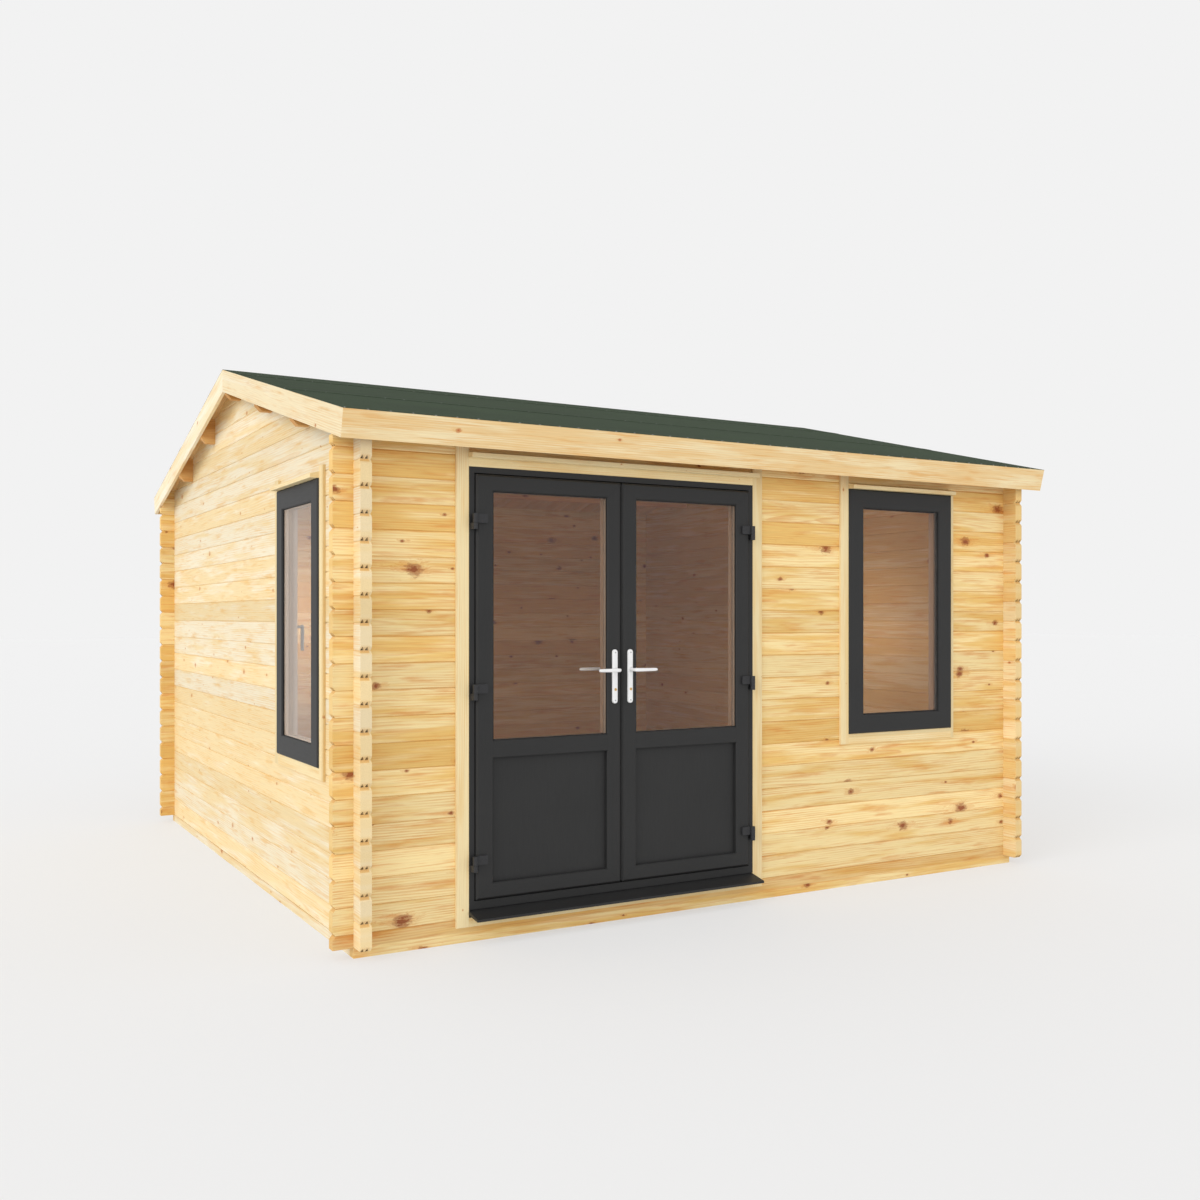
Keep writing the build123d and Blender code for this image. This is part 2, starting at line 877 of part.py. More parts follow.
# jamb half of each hinge: an arm on the jamb, the lower knuckle and the pin
lower_knuckle = hinge_height - hinge_flag_height - hinge_knuckle_gap
with BuildPart() as door_hinge_pins:
    for side in (-1, 1):
        pin_x = door_centre + side * hinge_x
        arm_far = door_centre + side * (door_frame_width / 2 - leaf_gap)
        for height in hinge_heights:
            with BuildSketch(Plane.XY.offset(height - hinge_height / 2)):
                with Locations((pin_x, hinge_y)):
                    Circle(hinge_pin_radius)
            extrude(amount=hinge_height)
            with BuildSketch(Plane.XY.offset(height - hinge_height / 2)):
                with Locations((pin_x, hinge_y)):
                    Circle(hinge_barrel_radius)
                with BuildLine():
                    Polyline(
                        (pin_x, hinge_y),
                        (pin_x + side * hinge_barrel_radius, hinge_y),
                        (arm_far, door_face),
                        (arm_far - side * hinge_arm_width, door_face),
                        close=True,
                    )
                make_face()
            extrude(amount=lower_knuckle)
save(door_hinge_pins, "door_hinge_pins")

# ---- boards around the door ---------------------------------------------------------------

trim_face = -half_depth - door_trim_thickness
trim_top = roof_underside(half_depth + door_trim_thickness) - trim_head_gap
with BuildPart() as door_side_trims:
    for outer in (door_left - door_trim_width, door_right):
        inner = outer + door_trim_width
        add_block((outer, trim_face, door_trim_bottom), (inner, -half_depth, trim_top))
save(door_side_trims, "door_side_trims")

casing_top = door_frame_top + head_casing_height
cap_top_at_trim = casing_top + cap_edge_height + cap_rise * (1 - door_trim_thickness / cap_reach)
with BuildPart() as door_cross_trims:
    add_block((door_left, trim_face, door_frame_top), (door_right, -half_depth, casing_top))
    with BuildSketch(Plane.YZ.offset(door_left)):
        with BuildLine():
            Polyline(
                (-half_depth, casing_top),
                (-half_depth - cap_reach, casing_top),
                (-half_depth - cap_reach, casing_top + cap_edge_height),
                (-half_depth, casing_top + cap_edge_height + cap_rise),
                close=True,
            )
        make_face()
    extrude(amount=door_frame_width)
    with BuildSketch(Plane.YZ.offset(door_right)):
        with BuildLine():
            Polyline(
                (trim_face, casing_top),
                (-half_depth - cap_reach, casing_top),
                (-half_depth - cap_reach, casing_top + cap_edge_height),
                (trim_face, cap_top_at_trim),
                close=True,
            )
        make_face()
    extrude(amount=door_cap_extra)
    add_block((door_left, trim_face, door_trim_bottom), (door_right, -half_depth, sill_nose_underside))
save(door_cross_trims, "door_cross_trims")

# ---- windows ------------------------------------------------------------------------------


class Window:
    """A window: the wall it is in, its frame and the boards around it."""

    def __init__(self, wall, start, width, bottom, height, start_trim, end_trim):
        self.wall = wall
        self.start = start
        self.end = start + width
        self.bottom = bottom
        self.top = bottom + height
        self.foot = bottom - window_foot_trim_height
        self.width = width
        self.height = height
        self.start_trim = start_trim
        self.end_trim = end_trim
        self.centre = (start + width / 2, bottom + height / 2)
        self.inside = wall.face.offset(window_frame_proud - window_frame_depth)

    def frame(self):
        """The frame, bevelled on its outer face round the rim and round the glass."""
        with BuildPart() as frame:
            with BuildSketch(self.wall.face.offset(window_frame_proud)):
                with Locations(self.centre):
                    Rectangle(self.width, self.height)
                    Rectangle(
                        self.width - 2 * window_frame_border,
                        self.height - 2 * window_frame_border,
                        mode=Mode.SUBTRACT,
                    )
            extrude(amount=-window_frame_depth)
            bevel_face(frame.faces().sort_by(self.wall.outward)[-1], window_frame_bevel)
        return frame

    def add_glass(self):
        """The pane that fills the frame."""
        with BuildSketch(self.wall.face.offset(window_frame_proud - window_glass_setback)) as pane:
            with Locations(self.centre):
                Rectangle(self.width - 2 * window_frame_border, self.height - 2 * window_frame_border)
        extrude(pane.sketch, amount=-window_glass_thickness)

    def add_side_trims(self):
        """The boards that stand on both sides of the frame, each with a width and a top."""
        for edge, side, (width, top) in ((self.start, -1, self.start_trim), (self.end, 1, self.end_trim)):
            with BuildSketch(self.wall.face) as board:
                with Locations((edge + side * width / 2, (self.foot + top) / 2)):
                    Rectangle(width, top - self.foot)
            extrude(board.sketch, amount=window_trim_thickness)

    def add_foot_trim(self):
        """The board under the frame."""
        with BuildSketch(self.wall.face) as board:
            with Locations(((self.start + self.end) / 2, (self.foot + self.bottom) / 2)):
                Rectangle(self.width, self.bottom - self.foot)
        extrude(board.sketch, amount=window_trim_thickness)

    def add_ledge(self):
        """The sloping ledge over the frame."""
        with BuildSketch(self.wall.section.offset(self.start)) as ledge:
            with BuildLine():
                Polyline(
                    (0, self.top),
                    (-cap_reach, self.top),
                    (-cap_reach, self.top + window_ledge_edge),
                    (0, self.top + window_ledge_edge + window_ledge_rise),
                    close=True,
                )
            make_face()
        extrude(ledge.sketch, amount=self.width)

    def add_handle(self):
        """The handle on the inside of the frame: a rose, a neck and a hanging lever."""
        place = (self.start + window_frame_border / 2, window_handle_height)
        lever_middle = (place[0], place[1] - (window_handle_length - window_handle_width) / 2)
        lever_outer = window_handle_stand_off - window_handle_thickness
        with BuildSketch(self.inside) as rose:
            with Locations(place):
                RectangleRounded(window_rose_width, window_rose_height, window_rose_corner)
        extrude(rose.sketch, amount=-window_rose_thickness)
        with BuildSketch(self.inside) as neck:
            with Locations(place):
                Circle(window_handle_neck_radius)
        extrude(neck.sketch, amount=-window_handle_stand_off)
        with BuildSketch(self.inside.offset(-lever_outer)) as bar:
            with Locations(lever_middle):
                RectangleRounded(window_handle_width, window_handle_length, window_handle_corner)
        extrude(bar.sketch, amount=-window_handle_thickness)


front_window = Window(
    front,
    front_window_start,
    front_window_width,
    front_window_bottom,
    front_window_height,
    (front_window_trim_width, trim_top),
    (front_window_bead_width, front_window_bottom + front_window_height),
)
left_window_trim = (left_window_trim_width, left_window_bottom + left_window_height + left_window_trim_rise)
left_window = Window(
    left,
    left_window_start,
    left_window_width,
    left_window_bottom,
    left_window_height,
    left_window_trim,
    left_window_trim,
)
windows = (front_window, left_window)

save(front_window.frame(), "front_window_frame")
save(left_window.frame(), "left_window_frame")

with BuildPart() as window_glass:
    for window in windows:
        window.add_glass()
save(window_glass, "window_glass")

with BuildPart() as window_side_trims:
    for window in windows:
        window.add_side_trims()
save(window_side_trims, "window_side_trims")

with BuildPart() as window_cross_trims:
    for window in windows:
        window.add_foot_trim()
        window.add_ledge()
save(window_cross_trims, "window_cross_trims")

with BuildPart() as window_handles:
    for window in windows:
        window.add_handle()
save(window_handles, "window_handles")

# casings on the inside, which cover the settling gaps round the frames
with BuildPart() as inside_casings:
    door_edges = (door_left, door_right, front_logs_bottom, door_frame_top)
    window_edges = [(window.start, window.end, window.bottom, window.top) for window in windows]
    for wall, edges, opening in (
        (front, door_edges, door_opening),
        (front, window_edges[0], front_window_opening),
        (left, window_edges[1], left_window_opening),
    ):
        start, end, bottom, top = edges
        with BuildSketch(wall.face.offset(-wall_thickness)):
            low = opening[2] - casing_width / 2
            high = opening[3] + casing_width / 2
            with Locations(((start + end) / 2, (low + high) / 2)):
                Rectangle(end - start + 2 * casing_width, high - low)
            with Locations(((start + end) / 2, (bottom + top) / 2)):
                Rectangle(end - start, top - bottom, mode=Mode.SUBTRACT)
        extrude(amount=-casing_thickness)
save(inside_casings, "inside_casings")
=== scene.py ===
import json
import math
import random

import bpy
from mathutils import Matrix, Vector


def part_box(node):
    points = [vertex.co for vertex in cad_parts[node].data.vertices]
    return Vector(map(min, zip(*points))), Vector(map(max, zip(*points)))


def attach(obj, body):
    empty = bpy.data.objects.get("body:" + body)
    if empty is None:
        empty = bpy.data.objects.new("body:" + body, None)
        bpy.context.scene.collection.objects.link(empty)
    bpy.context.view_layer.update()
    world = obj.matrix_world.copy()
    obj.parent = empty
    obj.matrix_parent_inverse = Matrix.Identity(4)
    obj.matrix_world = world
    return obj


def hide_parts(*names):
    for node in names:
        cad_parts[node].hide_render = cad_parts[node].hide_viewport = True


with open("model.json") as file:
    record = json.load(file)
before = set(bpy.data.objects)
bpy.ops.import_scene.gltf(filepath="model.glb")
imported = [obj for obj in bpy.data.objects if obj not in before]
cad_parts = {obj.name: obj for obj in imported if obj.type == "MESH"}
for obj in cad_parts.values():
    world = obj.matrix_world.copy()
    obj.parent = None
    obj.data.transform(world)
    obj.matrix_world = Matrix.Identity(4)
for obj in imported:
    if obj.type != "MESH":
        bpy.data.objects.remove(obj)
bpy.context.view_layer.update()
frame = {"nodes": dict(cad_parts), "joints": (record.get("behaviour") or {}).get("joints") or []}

# Log cabin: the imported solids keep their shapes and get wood, paint and felt; boards,
# felt strips, panes, seals, handles and fasteners are added. Metres, frame axes.

# ---- the building, from the frame ----------------------------------------------------
sole_low, sole_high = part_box("front_sole_log")
FRONT_LOGS_BOTTOM = sole_high.z  # a joint's height in the front and back walls
SIDE_LOGS_BOTTOM = sole_low.z  # and in the side walls
HALF_DEPTH = -sole_low.y  # from the middle to a wall's outer face
LOG_HEIGHT = 0.115
PITCH = math.radians(14)

# ---- wood ----------------------------------------------------------------------------
KNOT_CELLS = 2.3  # cells to a metre along a board, one knot in each
KNOT_ROWS = 3.8  # and across it
KNOT_SHAPE = (0.017, 0.012)
FLAME_SHAPE = (0.085, 0.026)
RINGS = 95.0  # year rings to a metre of radius
END_RINGS = 260.0
BOARD_TONE = 0.07

# ---- pockets in the log ends: two dark triangles of painted shade above a joint, on a strip with a band of painted brown shade ---
POCKET_SHADE = (0.025, 0.007, 0.002)
SHADE_BAND = (0.72, 0.42, 0.14)
POCKET_INSET = 0.02  # from the wall's face to the middle of the pair
POCKET_SPREAD = 0.01  # from there to the middle of each
POCKET_TOP = 0.0166
POCKET_FOOT = 0.0018
POCKET_SLOPE = 0.46  # half width to height
STRIP_HALF = 0.021
END_REACH = 0.05  # log ends stand further than this past the corner

# ---- painted joinery -----------------------------------------------------------------
ANTHRACITE = (0.023, 0.023, 0.023)
BARE_PROFILE = (0.46, 0.31, 0.21)
PALE_PROFILE = (0.86, 0.74, 0.62)
SEAM = 0.0005  # half width of a mitre line
FRAME_RIM = 0.02  # this close to its outer edge a frame is never bare
DARK_REVEAL = 0.027  # how deep the foil goes into the glazed opening
FAR = 9.0

# ---- glazing -------------------------------------------------------------------------
WINDOW_BORDER = 0.1  # a window frame's edge to its glass
WINDOW_SETBACK = 0.010
WINDOW_UNIT = 0.024  # both panes with the space between them
PANE = 0.004
GLASS_MIRROR = 0.45  # share of plain glass's reflection
SPACER_SIGHT = 0.0012
SEAL = [(0.0, 0.0), (0.0, 0.0035), (-0.001, 0.0042), (-0.0025, 0.0037), (-0.0038, 0.0012), (-0.0038, 0.0)]

# ---- door seals ----------------------------------------------------------------------
SEAL_GAP = 0.005  # between jamb and leaf
SEAL_CLEAR = 0.002
SEAL_INSET = 0.003
SEAL_DEPTH = 0.012
SEAL_MEET = 0.0025  # on each meeting stile

# ---- boards and felt -----------------------------------------------------------------
BOARD_COVER = 0.088
BOARD_GAP = 0.0006
ROOF_BOARD = 0.019
ROOF_LIP = 0.004
FLOOR_LIP = 0.0015
FELT = 0.003  # from the boards' top to the felt's
FELT_SHEET = 0.0013
FELT_LAP = 0.08
FELT_WIDTH = 1.0
FELT_STEPS_X = 120
FELT_STEPS_S = 16
LAP_RUN = 0.03  # where a strip climbs onto the one below
RIPPLE = 0.0003
NAIL = [(0, 0.0022), (0.0025, 0.0019), (0.004, 0.0012), (0.0045, 0.0004), (0.0045, 0), (0, 0)]
NAIL_SINK = 0.0018
NAIL_STEP = 0.1
NAIL_EDGE = 0.01
NAIL_WANDER = 0.004

# ---- handles, keyholes and screws ----------------------------------------------------
PLATE = 0.011
COLLAR = [(0, 0), (0.0125, 0), (0.0125, 0.0016), (0.0115, 0.0026), (0.0092, 0.003), (0.0092, 0), (0, 0)]
SCREW = [(0, 0.0006), (0.0022, 0.0006), (0.0034, 0.0003), (0.0038, 0), (0.0038, -0.0004), (0, -0.0004)]
LEVER_BEND = 0.013
LEVER_CLEAR = 0.0003
SPINDLE = 0.006
KEYHOLE = Vector((0.0006, 0.004, 0.0002))
FLAG = 0.010  # a hinge flag's thickness on the leaf
FLAG_HEIGHTS = (0.3665, 1.1305, 1.8915)
FLAG_SCREWS = (0.012, 0.03)
EASE = 0.0015  # a box's edges

# ---- frames of reference: (along the wall, up, outward) ------------------------------
FRONT = Matrix(((1, 0, 0, 0), (0, 0, -1, 0), (0, 1, 0, 0), (0, 0, 0, 1)))
LEFT = Matrix(((0, 0, -1, 0), (-1, 0, 0, 0), (0, 1, 0, 0), (0, 0, 0, 1)))


# ---- meshes --------------------------------------------------------------------------
class Pile:
    """Collects simple solids into one mesh. Each keeps its own grain coordinates
    (along, across, through) and a seed, which the wood materials read."""

    def __init__(self):
        self.points = []
        self.faces = []
        self.grain = []
        self.seeds = []

    def add(self, points, faces, place=Matrix(), seed=0.0):
        start = len(self.points)
        self.points += [place @ Vector(p) for p in points]
        self.faces += [tuple(start + i for i in face) for face in faces]
        self.grain += [Vector(p) for p in points]
        self.seeds += [seed] * len(points)

    def box(self, low, high, place=Matrix(), ease=EASE):
        """A box with eased edges."""
        points = []
        index = {}
        signs = [(x, y, z) for x in (0, 1) for y in (0, 1) for z in (0, 1)]
        for corner in signs:
            for full in range(3):
                point = []
                for axis in range(3):
                    end = (low, high)[corner[axis]][axis]
                    inward = ease if corner[axis] == 0 else -ease
                    point.append(end if axis == full else end + inward)
                index[corner, full] = len(points)
                points.append(point)
        faces = [[index[corner, axis] for axis in range(3)] for corner in signs]
        for axis in range(3):
            b, c = (axis + 1) % 3, (axis + 2) % 3
            for end in (0, 1):
                loop = []
                for first, second in ((0, 0), (1, 0), (1, 1), (0, 1)):
                    corner = [0, 0, 0]
                    corner[axis], corner[b], corner[c] = end, first, second
                    loop.append(index[tuple(corner), axis])
                faces.append(loop)
            for first in (0, 1):
                for second in (0, 1):
                    low_corner = [0, 0, 0]
                    low_corner[b], low_corner[c] = first, second
                    high_corner = list(low_corner)
                    high_corner[axis] = 1
                    low_corner, high_corner = tuple(low_corner), tuple(high_corner)
                    pairs = ((low_corner, b), (low_corner, c), (high_corner, c), (high_corner, b))
                    faces.append([index[pair] for pair in pairs])
        self.add(points, faces, place)

    def ring(self, low, high, profile, place=Matrix()):
        """A mitred frame round the rectangle low-high. The profile's points are
        (distance outward from the rectangle, height off its plane)."""
        (x0, y0), (x1, y1) = low, high
        points = []
        for x, y, sx, sy in ((x0, y0, -1, -1), (x1, y0, 1, -1), (x1, y1, 1, 1), (x0, y1, -1, 1)):
            points += [(x + sx * out, y + sy * out, up) for out, up in profile]
        count = len(profile)
        faces = []
        for corner in range(4):
            here, there = corner * count, (corner + 1) % 4 * count
            for i in range(count):
                j = (i + 1) % count
                faces.append((here + i, there + i, there + j, here + j))
        self.add(points, faces, place)

    def lathe(self, profile, place=Matrix(), sides=24):
        """A turned shape: profile points are (radius, height), from axis to axis."""
        points = []
        rings = []
        for radius, height in profile:
            if radius == 0:
                rings.append([len(points)])
                points.append((0, 0, height))
                continue
            rings.append(range(len(points), len(points) + sides))
            for i in range(sides):
                angle = 2 * math.pi * i / sides
                points.append((radius * math.cos(angle), radius * math.sin(angle), height))
        faces = []
        for low, high in zip(rings, rings[1:]):
            for i in range(sides):
                j = (i + 1) % sides
                if len(low) == 1:
                    faces.append((low[0], high[j], high[i]))
                elif len(high) == 1:
                    faces.append((low[i], low[j], high[0]))
                else:
                    faces.append((low[i], low[j], high[j], high[i]))
        self.add(points, faces, place)

    def loft(self, loops, place=Matrix(), seed=0.0):
        """A skin through closed loops of the same length, capped at both ends."""
        count = len(loops[0])
        points = [p for loop in loops for p in loop]
        faces = []
        for row in range(len(loops) - 1):
            for i in range(count):
                j = (i + 1) % count
                a, b = row * count, (row + 1) * count
                faces.append((a + i, a + j, b + j, b + i))
        faces.append(tuple(reversed(range(count))))
        faces.append(tuple(range((len(loops) - 1) * count, len(loops) * count)))
        self.add(points, faces, place, seed)

    def build(self, name, material, body, replaces=(), smooth=None):
        mesh = bpy.data.meshes.new(name)
        mesh.from_pydata(self.points, [], self.faces)
        grain = mesh.attributes.new("grain", "FLOAT_VECTOR", "POINT")
        grain.data.foreach_set("vector", [value for g in self.grain for value in g])
        seed = mesh.attributes.new("seed", "FLOAT", "POINT")
        seed.data.foreach_set("value", self.seeds)
        mesh.materials.append(material)
        piece = bpy.data.objects.new(name, mesh)
        bpy.context.scene.collection.objects.link(piece)
        bpy.context.view_layer.objects.active = piece
        bpy.ops.object.select_all(action="DESELECT")
        piece.select_set(True)
        bpy.ops.object.mode_set(mode="EDIT")
        bpy.ops.mesh.select_all(action="SELECT")
        bpy.ops.mesh.normals_make_consistent(inside=False)
        bpy.ops.object.mode_set(mode="OBJECT")
        if smooth:
            bpy.ops.object.shade_smooth_by_angle(angle=math.radians(smooth))
        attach(piece, body)
        if replaces:
            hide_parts(*replaces)
        return piece


# ---- materials -----------------------------------------------------------------------
class Graph:
    """A material's nodes, written as expressions."""

    def __init__(self, name):
        self.material = bpy.data.materials.new(name)
        self.material.use_nodes = True
        self.tree = self.material.node_tree
        self.shader = self.tree.nodes["Principled BSDF"]
        self.output = self.tree.nodes["Material Output"]

    def node(self, kind, inputs=(), **settings):
        node = self.tree.nodes.new(kind)
        for key, value in settings.items():
            setattr(node, key, value)
        for key, value in dict(inputs).items():
            self.feed(node.inputs[key], value)
        return node

    def feed(self, socket, value):
        if isinstance(value, bpy.types.NodeSocket):
            self.tree.links.new(value, socket)
        elif value is not None:
            socket.default_value = value

    def math(self, operation, *values):
        return self.node("ShaderNodeMath", enumerate(values), operation=operation).outputs[0]

    def plus(self, first, second):
        return self.math("ADD", first, second)

    def minus(self, first, second):
        return self.math("SUBTRACT", first, second)

    def scaled(self, value, factor, offset):
        return self.math("MULTIPLY_ADD", value, factor, offset)

    def absolute(self, value):
        return self.math("ABSOLUTE", value)

    def above(self, value, limit):
        return self.math("GREATER_THAN", value, limit)

    def below(self, value, limit):
        return self.math("LESS_THAN", value, limit)

    def product(self, first, *others):
        for other in others:
            first = self.math("MULTIPLY", first, other)
        return first

    def length(self, x, y):
        return self.math("SQRT", self.plus(self.product(x, x), self.product(y, y)))

    def within(self, value, middle, half):
        """1 where value is less than half away from middle."""
        return self.below(self.absolute(self.minus(value, middle)), half)

    def vector(self, x, y, z):
        return self.node("ShaderNodeCombineXYZ", enumerate((x, y, z))).outputs[0]

    def split(self, vector):
        return self.node("ShaderNodeSeparateXYZ", {0: vector}).outputs[:]

    def noise(self, vector, scale=1.0, detail=3.0, roughness=0.5):
        inputs = {"Vector": vector, "Scale": scale, "Detail": detail, "Roughness": roughness}
        return self.node("ShaderNodeTexNoise", inputs).outputs[0]

    def chance(self, value):
        """A random number from 0 to 1 for each whole value."""
        return self.node("ShaderNodeTexWhiteNoise", {"W": value}, noise_dimensions="1D").outputs[0]

    def steps(self, value, low, high, to_low=0.0, to_high=1.0):
        """A smooth step from to_low at low to to_high at high."""
        inputs = {"Value": value, 1: low, 2: high, 3: to_low, 4: to_high}
        return self.node("ShaderNodeMapRange", inputs, interpolation_type="SMOOTHSTEP").outputs[0]

    def blend(self, factor, first, second, kind="MIX"):
        node = self.node("ShaderNodeMix", {0: factor}, data_type="RGBA", blend_type=kind)
        self.feed(node.inputs[6], color(first))
        self.feed(node.inputs[7], color(second))
        return node.outputs[2]

    def tint(self, first, level):
        """A colour times a grey level."""
        return self.blend(1.0, first, self.vector(level, level, level), "MULTIPLY")

    def bump(self, height, distance, strength):
        inputs = {"Height": height, "Distance": distance, "Strength": strength}
        return self.node("ShaderNodeBump", inputs).outputs[0]

    def finish(self, **inputs):
        """Feed the shader: Base_Color=..., Roughness=... and so on."""
        for key, value in inputs.items():
            self.feed(self.shader.inputs[key.replace("_", " ")], color(value))
        return self.material


def color(value):
    return (*value, 1.0) if isinstance(value, tuple) and len(value) == 3 else value


class Board:
    """A board's own place, from which its knots, rings and fibre are worked out.

    place(graph) gives sockets (along, across, through, seed, end, gaps): end is 1 on end grain, and gaps is a
    pair, 1 in the pockets of the log ends and on their strip, which get painted shade."""

    def __init__(self, g, place):
        self.g = g
        along, self.across, self.through, self.seed, self.end, self.gaps = place(g)
        self.chance = g.chance(self.seed)
        self.other = g.chance(g.plus(self.seed, 31.7))
        self.run = g.scaled(self.chance, 37.0, along)
        self.side = g.minus(1.0, self.end)

    def stretched(self, run_scale, across_scale, lift=0.0, detail=3.0):
        """Noise drawn out along the board. lift sets one use apart from another."""
        g = self.g
        x = g.product(self.run, run_scale)
        y = g.product(self.across, across_scale)
        return g.noise(g.vector(x, y, g.plus(self.seed, lift)), 1.0, detail)

    def knots(self, amount):
        """Core, rim and flame of the knots, and the specks in the flames. A cell holds
        one knot, and what it colours fades out at the cell's border."""
        g = self.g
        ragged = g.minus(self.stretched(45.0, 95.0, 3.0, 4.0), 0.5)
        swirl = g.minus(self.stretched(14.0, 34.0, 5.0, 4.0), 0.5)
        row = g.scaled(self.other, 17.0, g.product(self.across, KNOT_ROWS))
        spot = g.vector(g.product(self.run, KNOT_CELLS), row, 0.0)
        inputs = {"Vector": spot, "Scale": 1.0, "Randomness": 0.7}
        cell = g.node("ShaderNodeTexVoronoi", inputs, voronoi_dimensions="2D")
        edge = g.node("ShaderNodeTexVoronoi", inputs, voronoi_dimensions="2D", feature="DISTANCE_TO_EDGE")
        knotty = g.product(self.side, g.steps(edge.outputs["Distance"], 0.0, 0.09))
        middle = g.split(cell.outputs["Position"])
        off_run = g.minus(self.run, g.math("DIVIDE", middle[0], KNOT_CELLS))
        off_row = g.math("DIVIDE", g.minus(row, middle[1]), KNOT_ROWS)
        pick = g.split(cell.outputs["Color"])[0]
        size = g.scaled(g.math("POWER", pick, 2.5), 0.9 * amount, 0.25 * amount)

        def reach(shape, rough, bent):
            """Distance from the knot in sizes of its shape, with a torn outline."""
            off = g.length(g.math("DIVIDE", off_run, shape[0]), g.math("DIVIDE", off_row, shape[1]))
            tear = g.scaled(ragged, rough, g.product(swirl, bent))
            return g.plus(g.math("DIVIDE", off, size), tear)

        near = reach(KNOT_SHAPE, 2.4, 1.2)
        core = g.product(g.steps(near, 0.5, 1.0, 1.0, 0.0), knotty)
        rim = g.product(g.steps(near, 0.6, 1.0), g.steps(near, 1.0, 1.7, 1.0, 0.0), knotty)
        around = reach(FLAME_SHAPE, 1.2, 2.4)
        halo = g.product(g.steps(around, 0.15, 1.0, 1.0, 0.0), knotty)
        return core, rim, halo, g.steps(g.plus(ragged, swirl), 0.02, 0.2)

    def late_wood(self, halo):
        """Year rings of a board sawn off centre, which the knots push aside, and on end
        grain the rings round a pith below the board."""
        g = self.g
        slow = g.noise(g.vector(g.product(self.run, 0.55), self.seed, 0.0), 1.0, 1.0)
        pith = g.scaled(self.other, 0.22, -0.05)
        rise = g.plus(g.minus(self.across, pith), g.product(halo, 0.014))
        radius = g.length(rise, g.scaled(slow, 0.11, -0.02))
        phase = g.scaled(radius, RINGS, g.product(self.stretched(2.2, 22.0), 1.3))
        clear = g.steps(self.stretched(1.3, 11.0, 7.0), 0.4, 0.62, 0.15, 1.0)
        face = g.product(ring_line(g, phase), clear)
        end_rise = g.plus(self.across, g.scaled(self.chance, 0.05, 0.02))
        end_side = g.plus(self.through, g.scaled(self.other, 0.05, -0.04))
        end = ring_line(g, g.product(g.length(end_rise, end_side), END_RINGS))
        return g.plus(g.product(face, self.side), g.product(end, self.end))

    def fibre(self):
        """Fine streaks along the board."""
        g = self.g
        x = g.product(self.run, 6.0)
        y = g.product(self.across, 300.0)
        z = g.product(self.through, 300.0)
        return g.noise(g.vector(x, y, z), 1.0, 3.0, 0.6)

    def shade_band(self):
        """Painted shade: brown above a log's lower edge, and darker below its upper one."""
        g = self.g
        low = g.steps(self.across, 0.012, 0.03, 0.35, 0.0)
        high = g.steps(self.across, LOG_HEIGHT - 0.013, LOG_HEIGHT - 0.009, 0.0, 0.85)
        return g.math("MAXIMUM", low, high)


def wood(name, place, pale, honey, amber, knot, joint=None, knots=1.0, flame=1.0):
    """Planed softwood. joint is the colour of the joints between logs, knots the knots'
    size and flame how strong the resin veins and blotches are."""
    g = Graph(name)
    board = Board(g, place)
    core, rim, halo, speck = board.knots(knots)
    late = board.late_wood(halo)
    fibre = board.fibre()

    # colour: the board's own tone, thin resin veins, blotches, rings, flames, knots
    lean = g.scaled(board.other, 0.3, board.stretched(1.9, 20.0, 11.0, 5.0))
    body = g.blend(g.steps(lean, 0.5, 0.76), pale, honey)
    vein = g.product(g.steps(board.stretched(3.6, 130.0, 19.0, 5.0), 0.54, 0.68), board.side)
    blotch = g.product(g.steps(board.stretched(3.2, 24.0, 29.0, 6.0), 0.55, 0.72), board.side)
    for share, strength, shade in (
        (vein, 0.45 * flame, amber),
        (blotch, 0.5 * flame, amber),
        (late, 0.42, amber),
        (board.end, 0.55, honey),
        (halo, g.scaled(speck, 0.45, 0.3), amber),
        (g.product(halo, speck), 0.22, knot),
        (rim, 0.6, knot),
        (core, 0.92, knot),
    ):
        body = g.blend(g.product(share, strength), body, shade)
    if joint:
        edge = g.math("MINIMUM", board.across, g.minus(LOG_HEIGHT, board.across))
        line = g.product(g.steps(edge, 0.0, 0.0024, 0.6, 0.0), board.side)
        body = g.blend(line, body, joint)
        # painted shade on the strip round the log ends' pockets: a brown band along the joints
        body = g.blend(g.product(board.shade_band(), board.gaps[1]), body, SHADE_BAND)
    level = g.scaled(board.chance, 2 * BOARD_TONE, 1.0 - BOARD_TONE)
    body = g.tint(body, g.product(level, g.scaled(fibre, 0.3, 0.85)))
    gloss = 0.25
    # painted shade in the pockets of the log ends: near black and without gloss
    if joint:
        body = g.blend(board.gaps[0], body, POCKET_SHADE)
        gloss = g.scaled(board.gaps[0], -0.25, 0.25)

    relief = g.plus(g.product(late, 0.5), g.product(fibre, 0.8))
    return g.finish(
        Base_Color=body,
        Roughness=g.plus(g.scaled(fibre, 0.18, 0.5), g.product(core, -0.15)),
        Specular_IOR_Level=gloss,
        Normal=g.bump(g.minus(relief, g.product(rim, 0.8)), 0.0005, 0.5),
    )


def ring_line(g, phase):
    """A year ring's dark line: it builds up slowly and ends sharply."""
    part = g.math("FRACT", phase)
    return g.product(g.steps(part, 0.3, 0.9), g.steps(part, 0.9, 1.0, 1.0, 0.0))


def object_place(g):
    return g.split(g.node("ShaderNodeTexCoord").outputs["Object"])


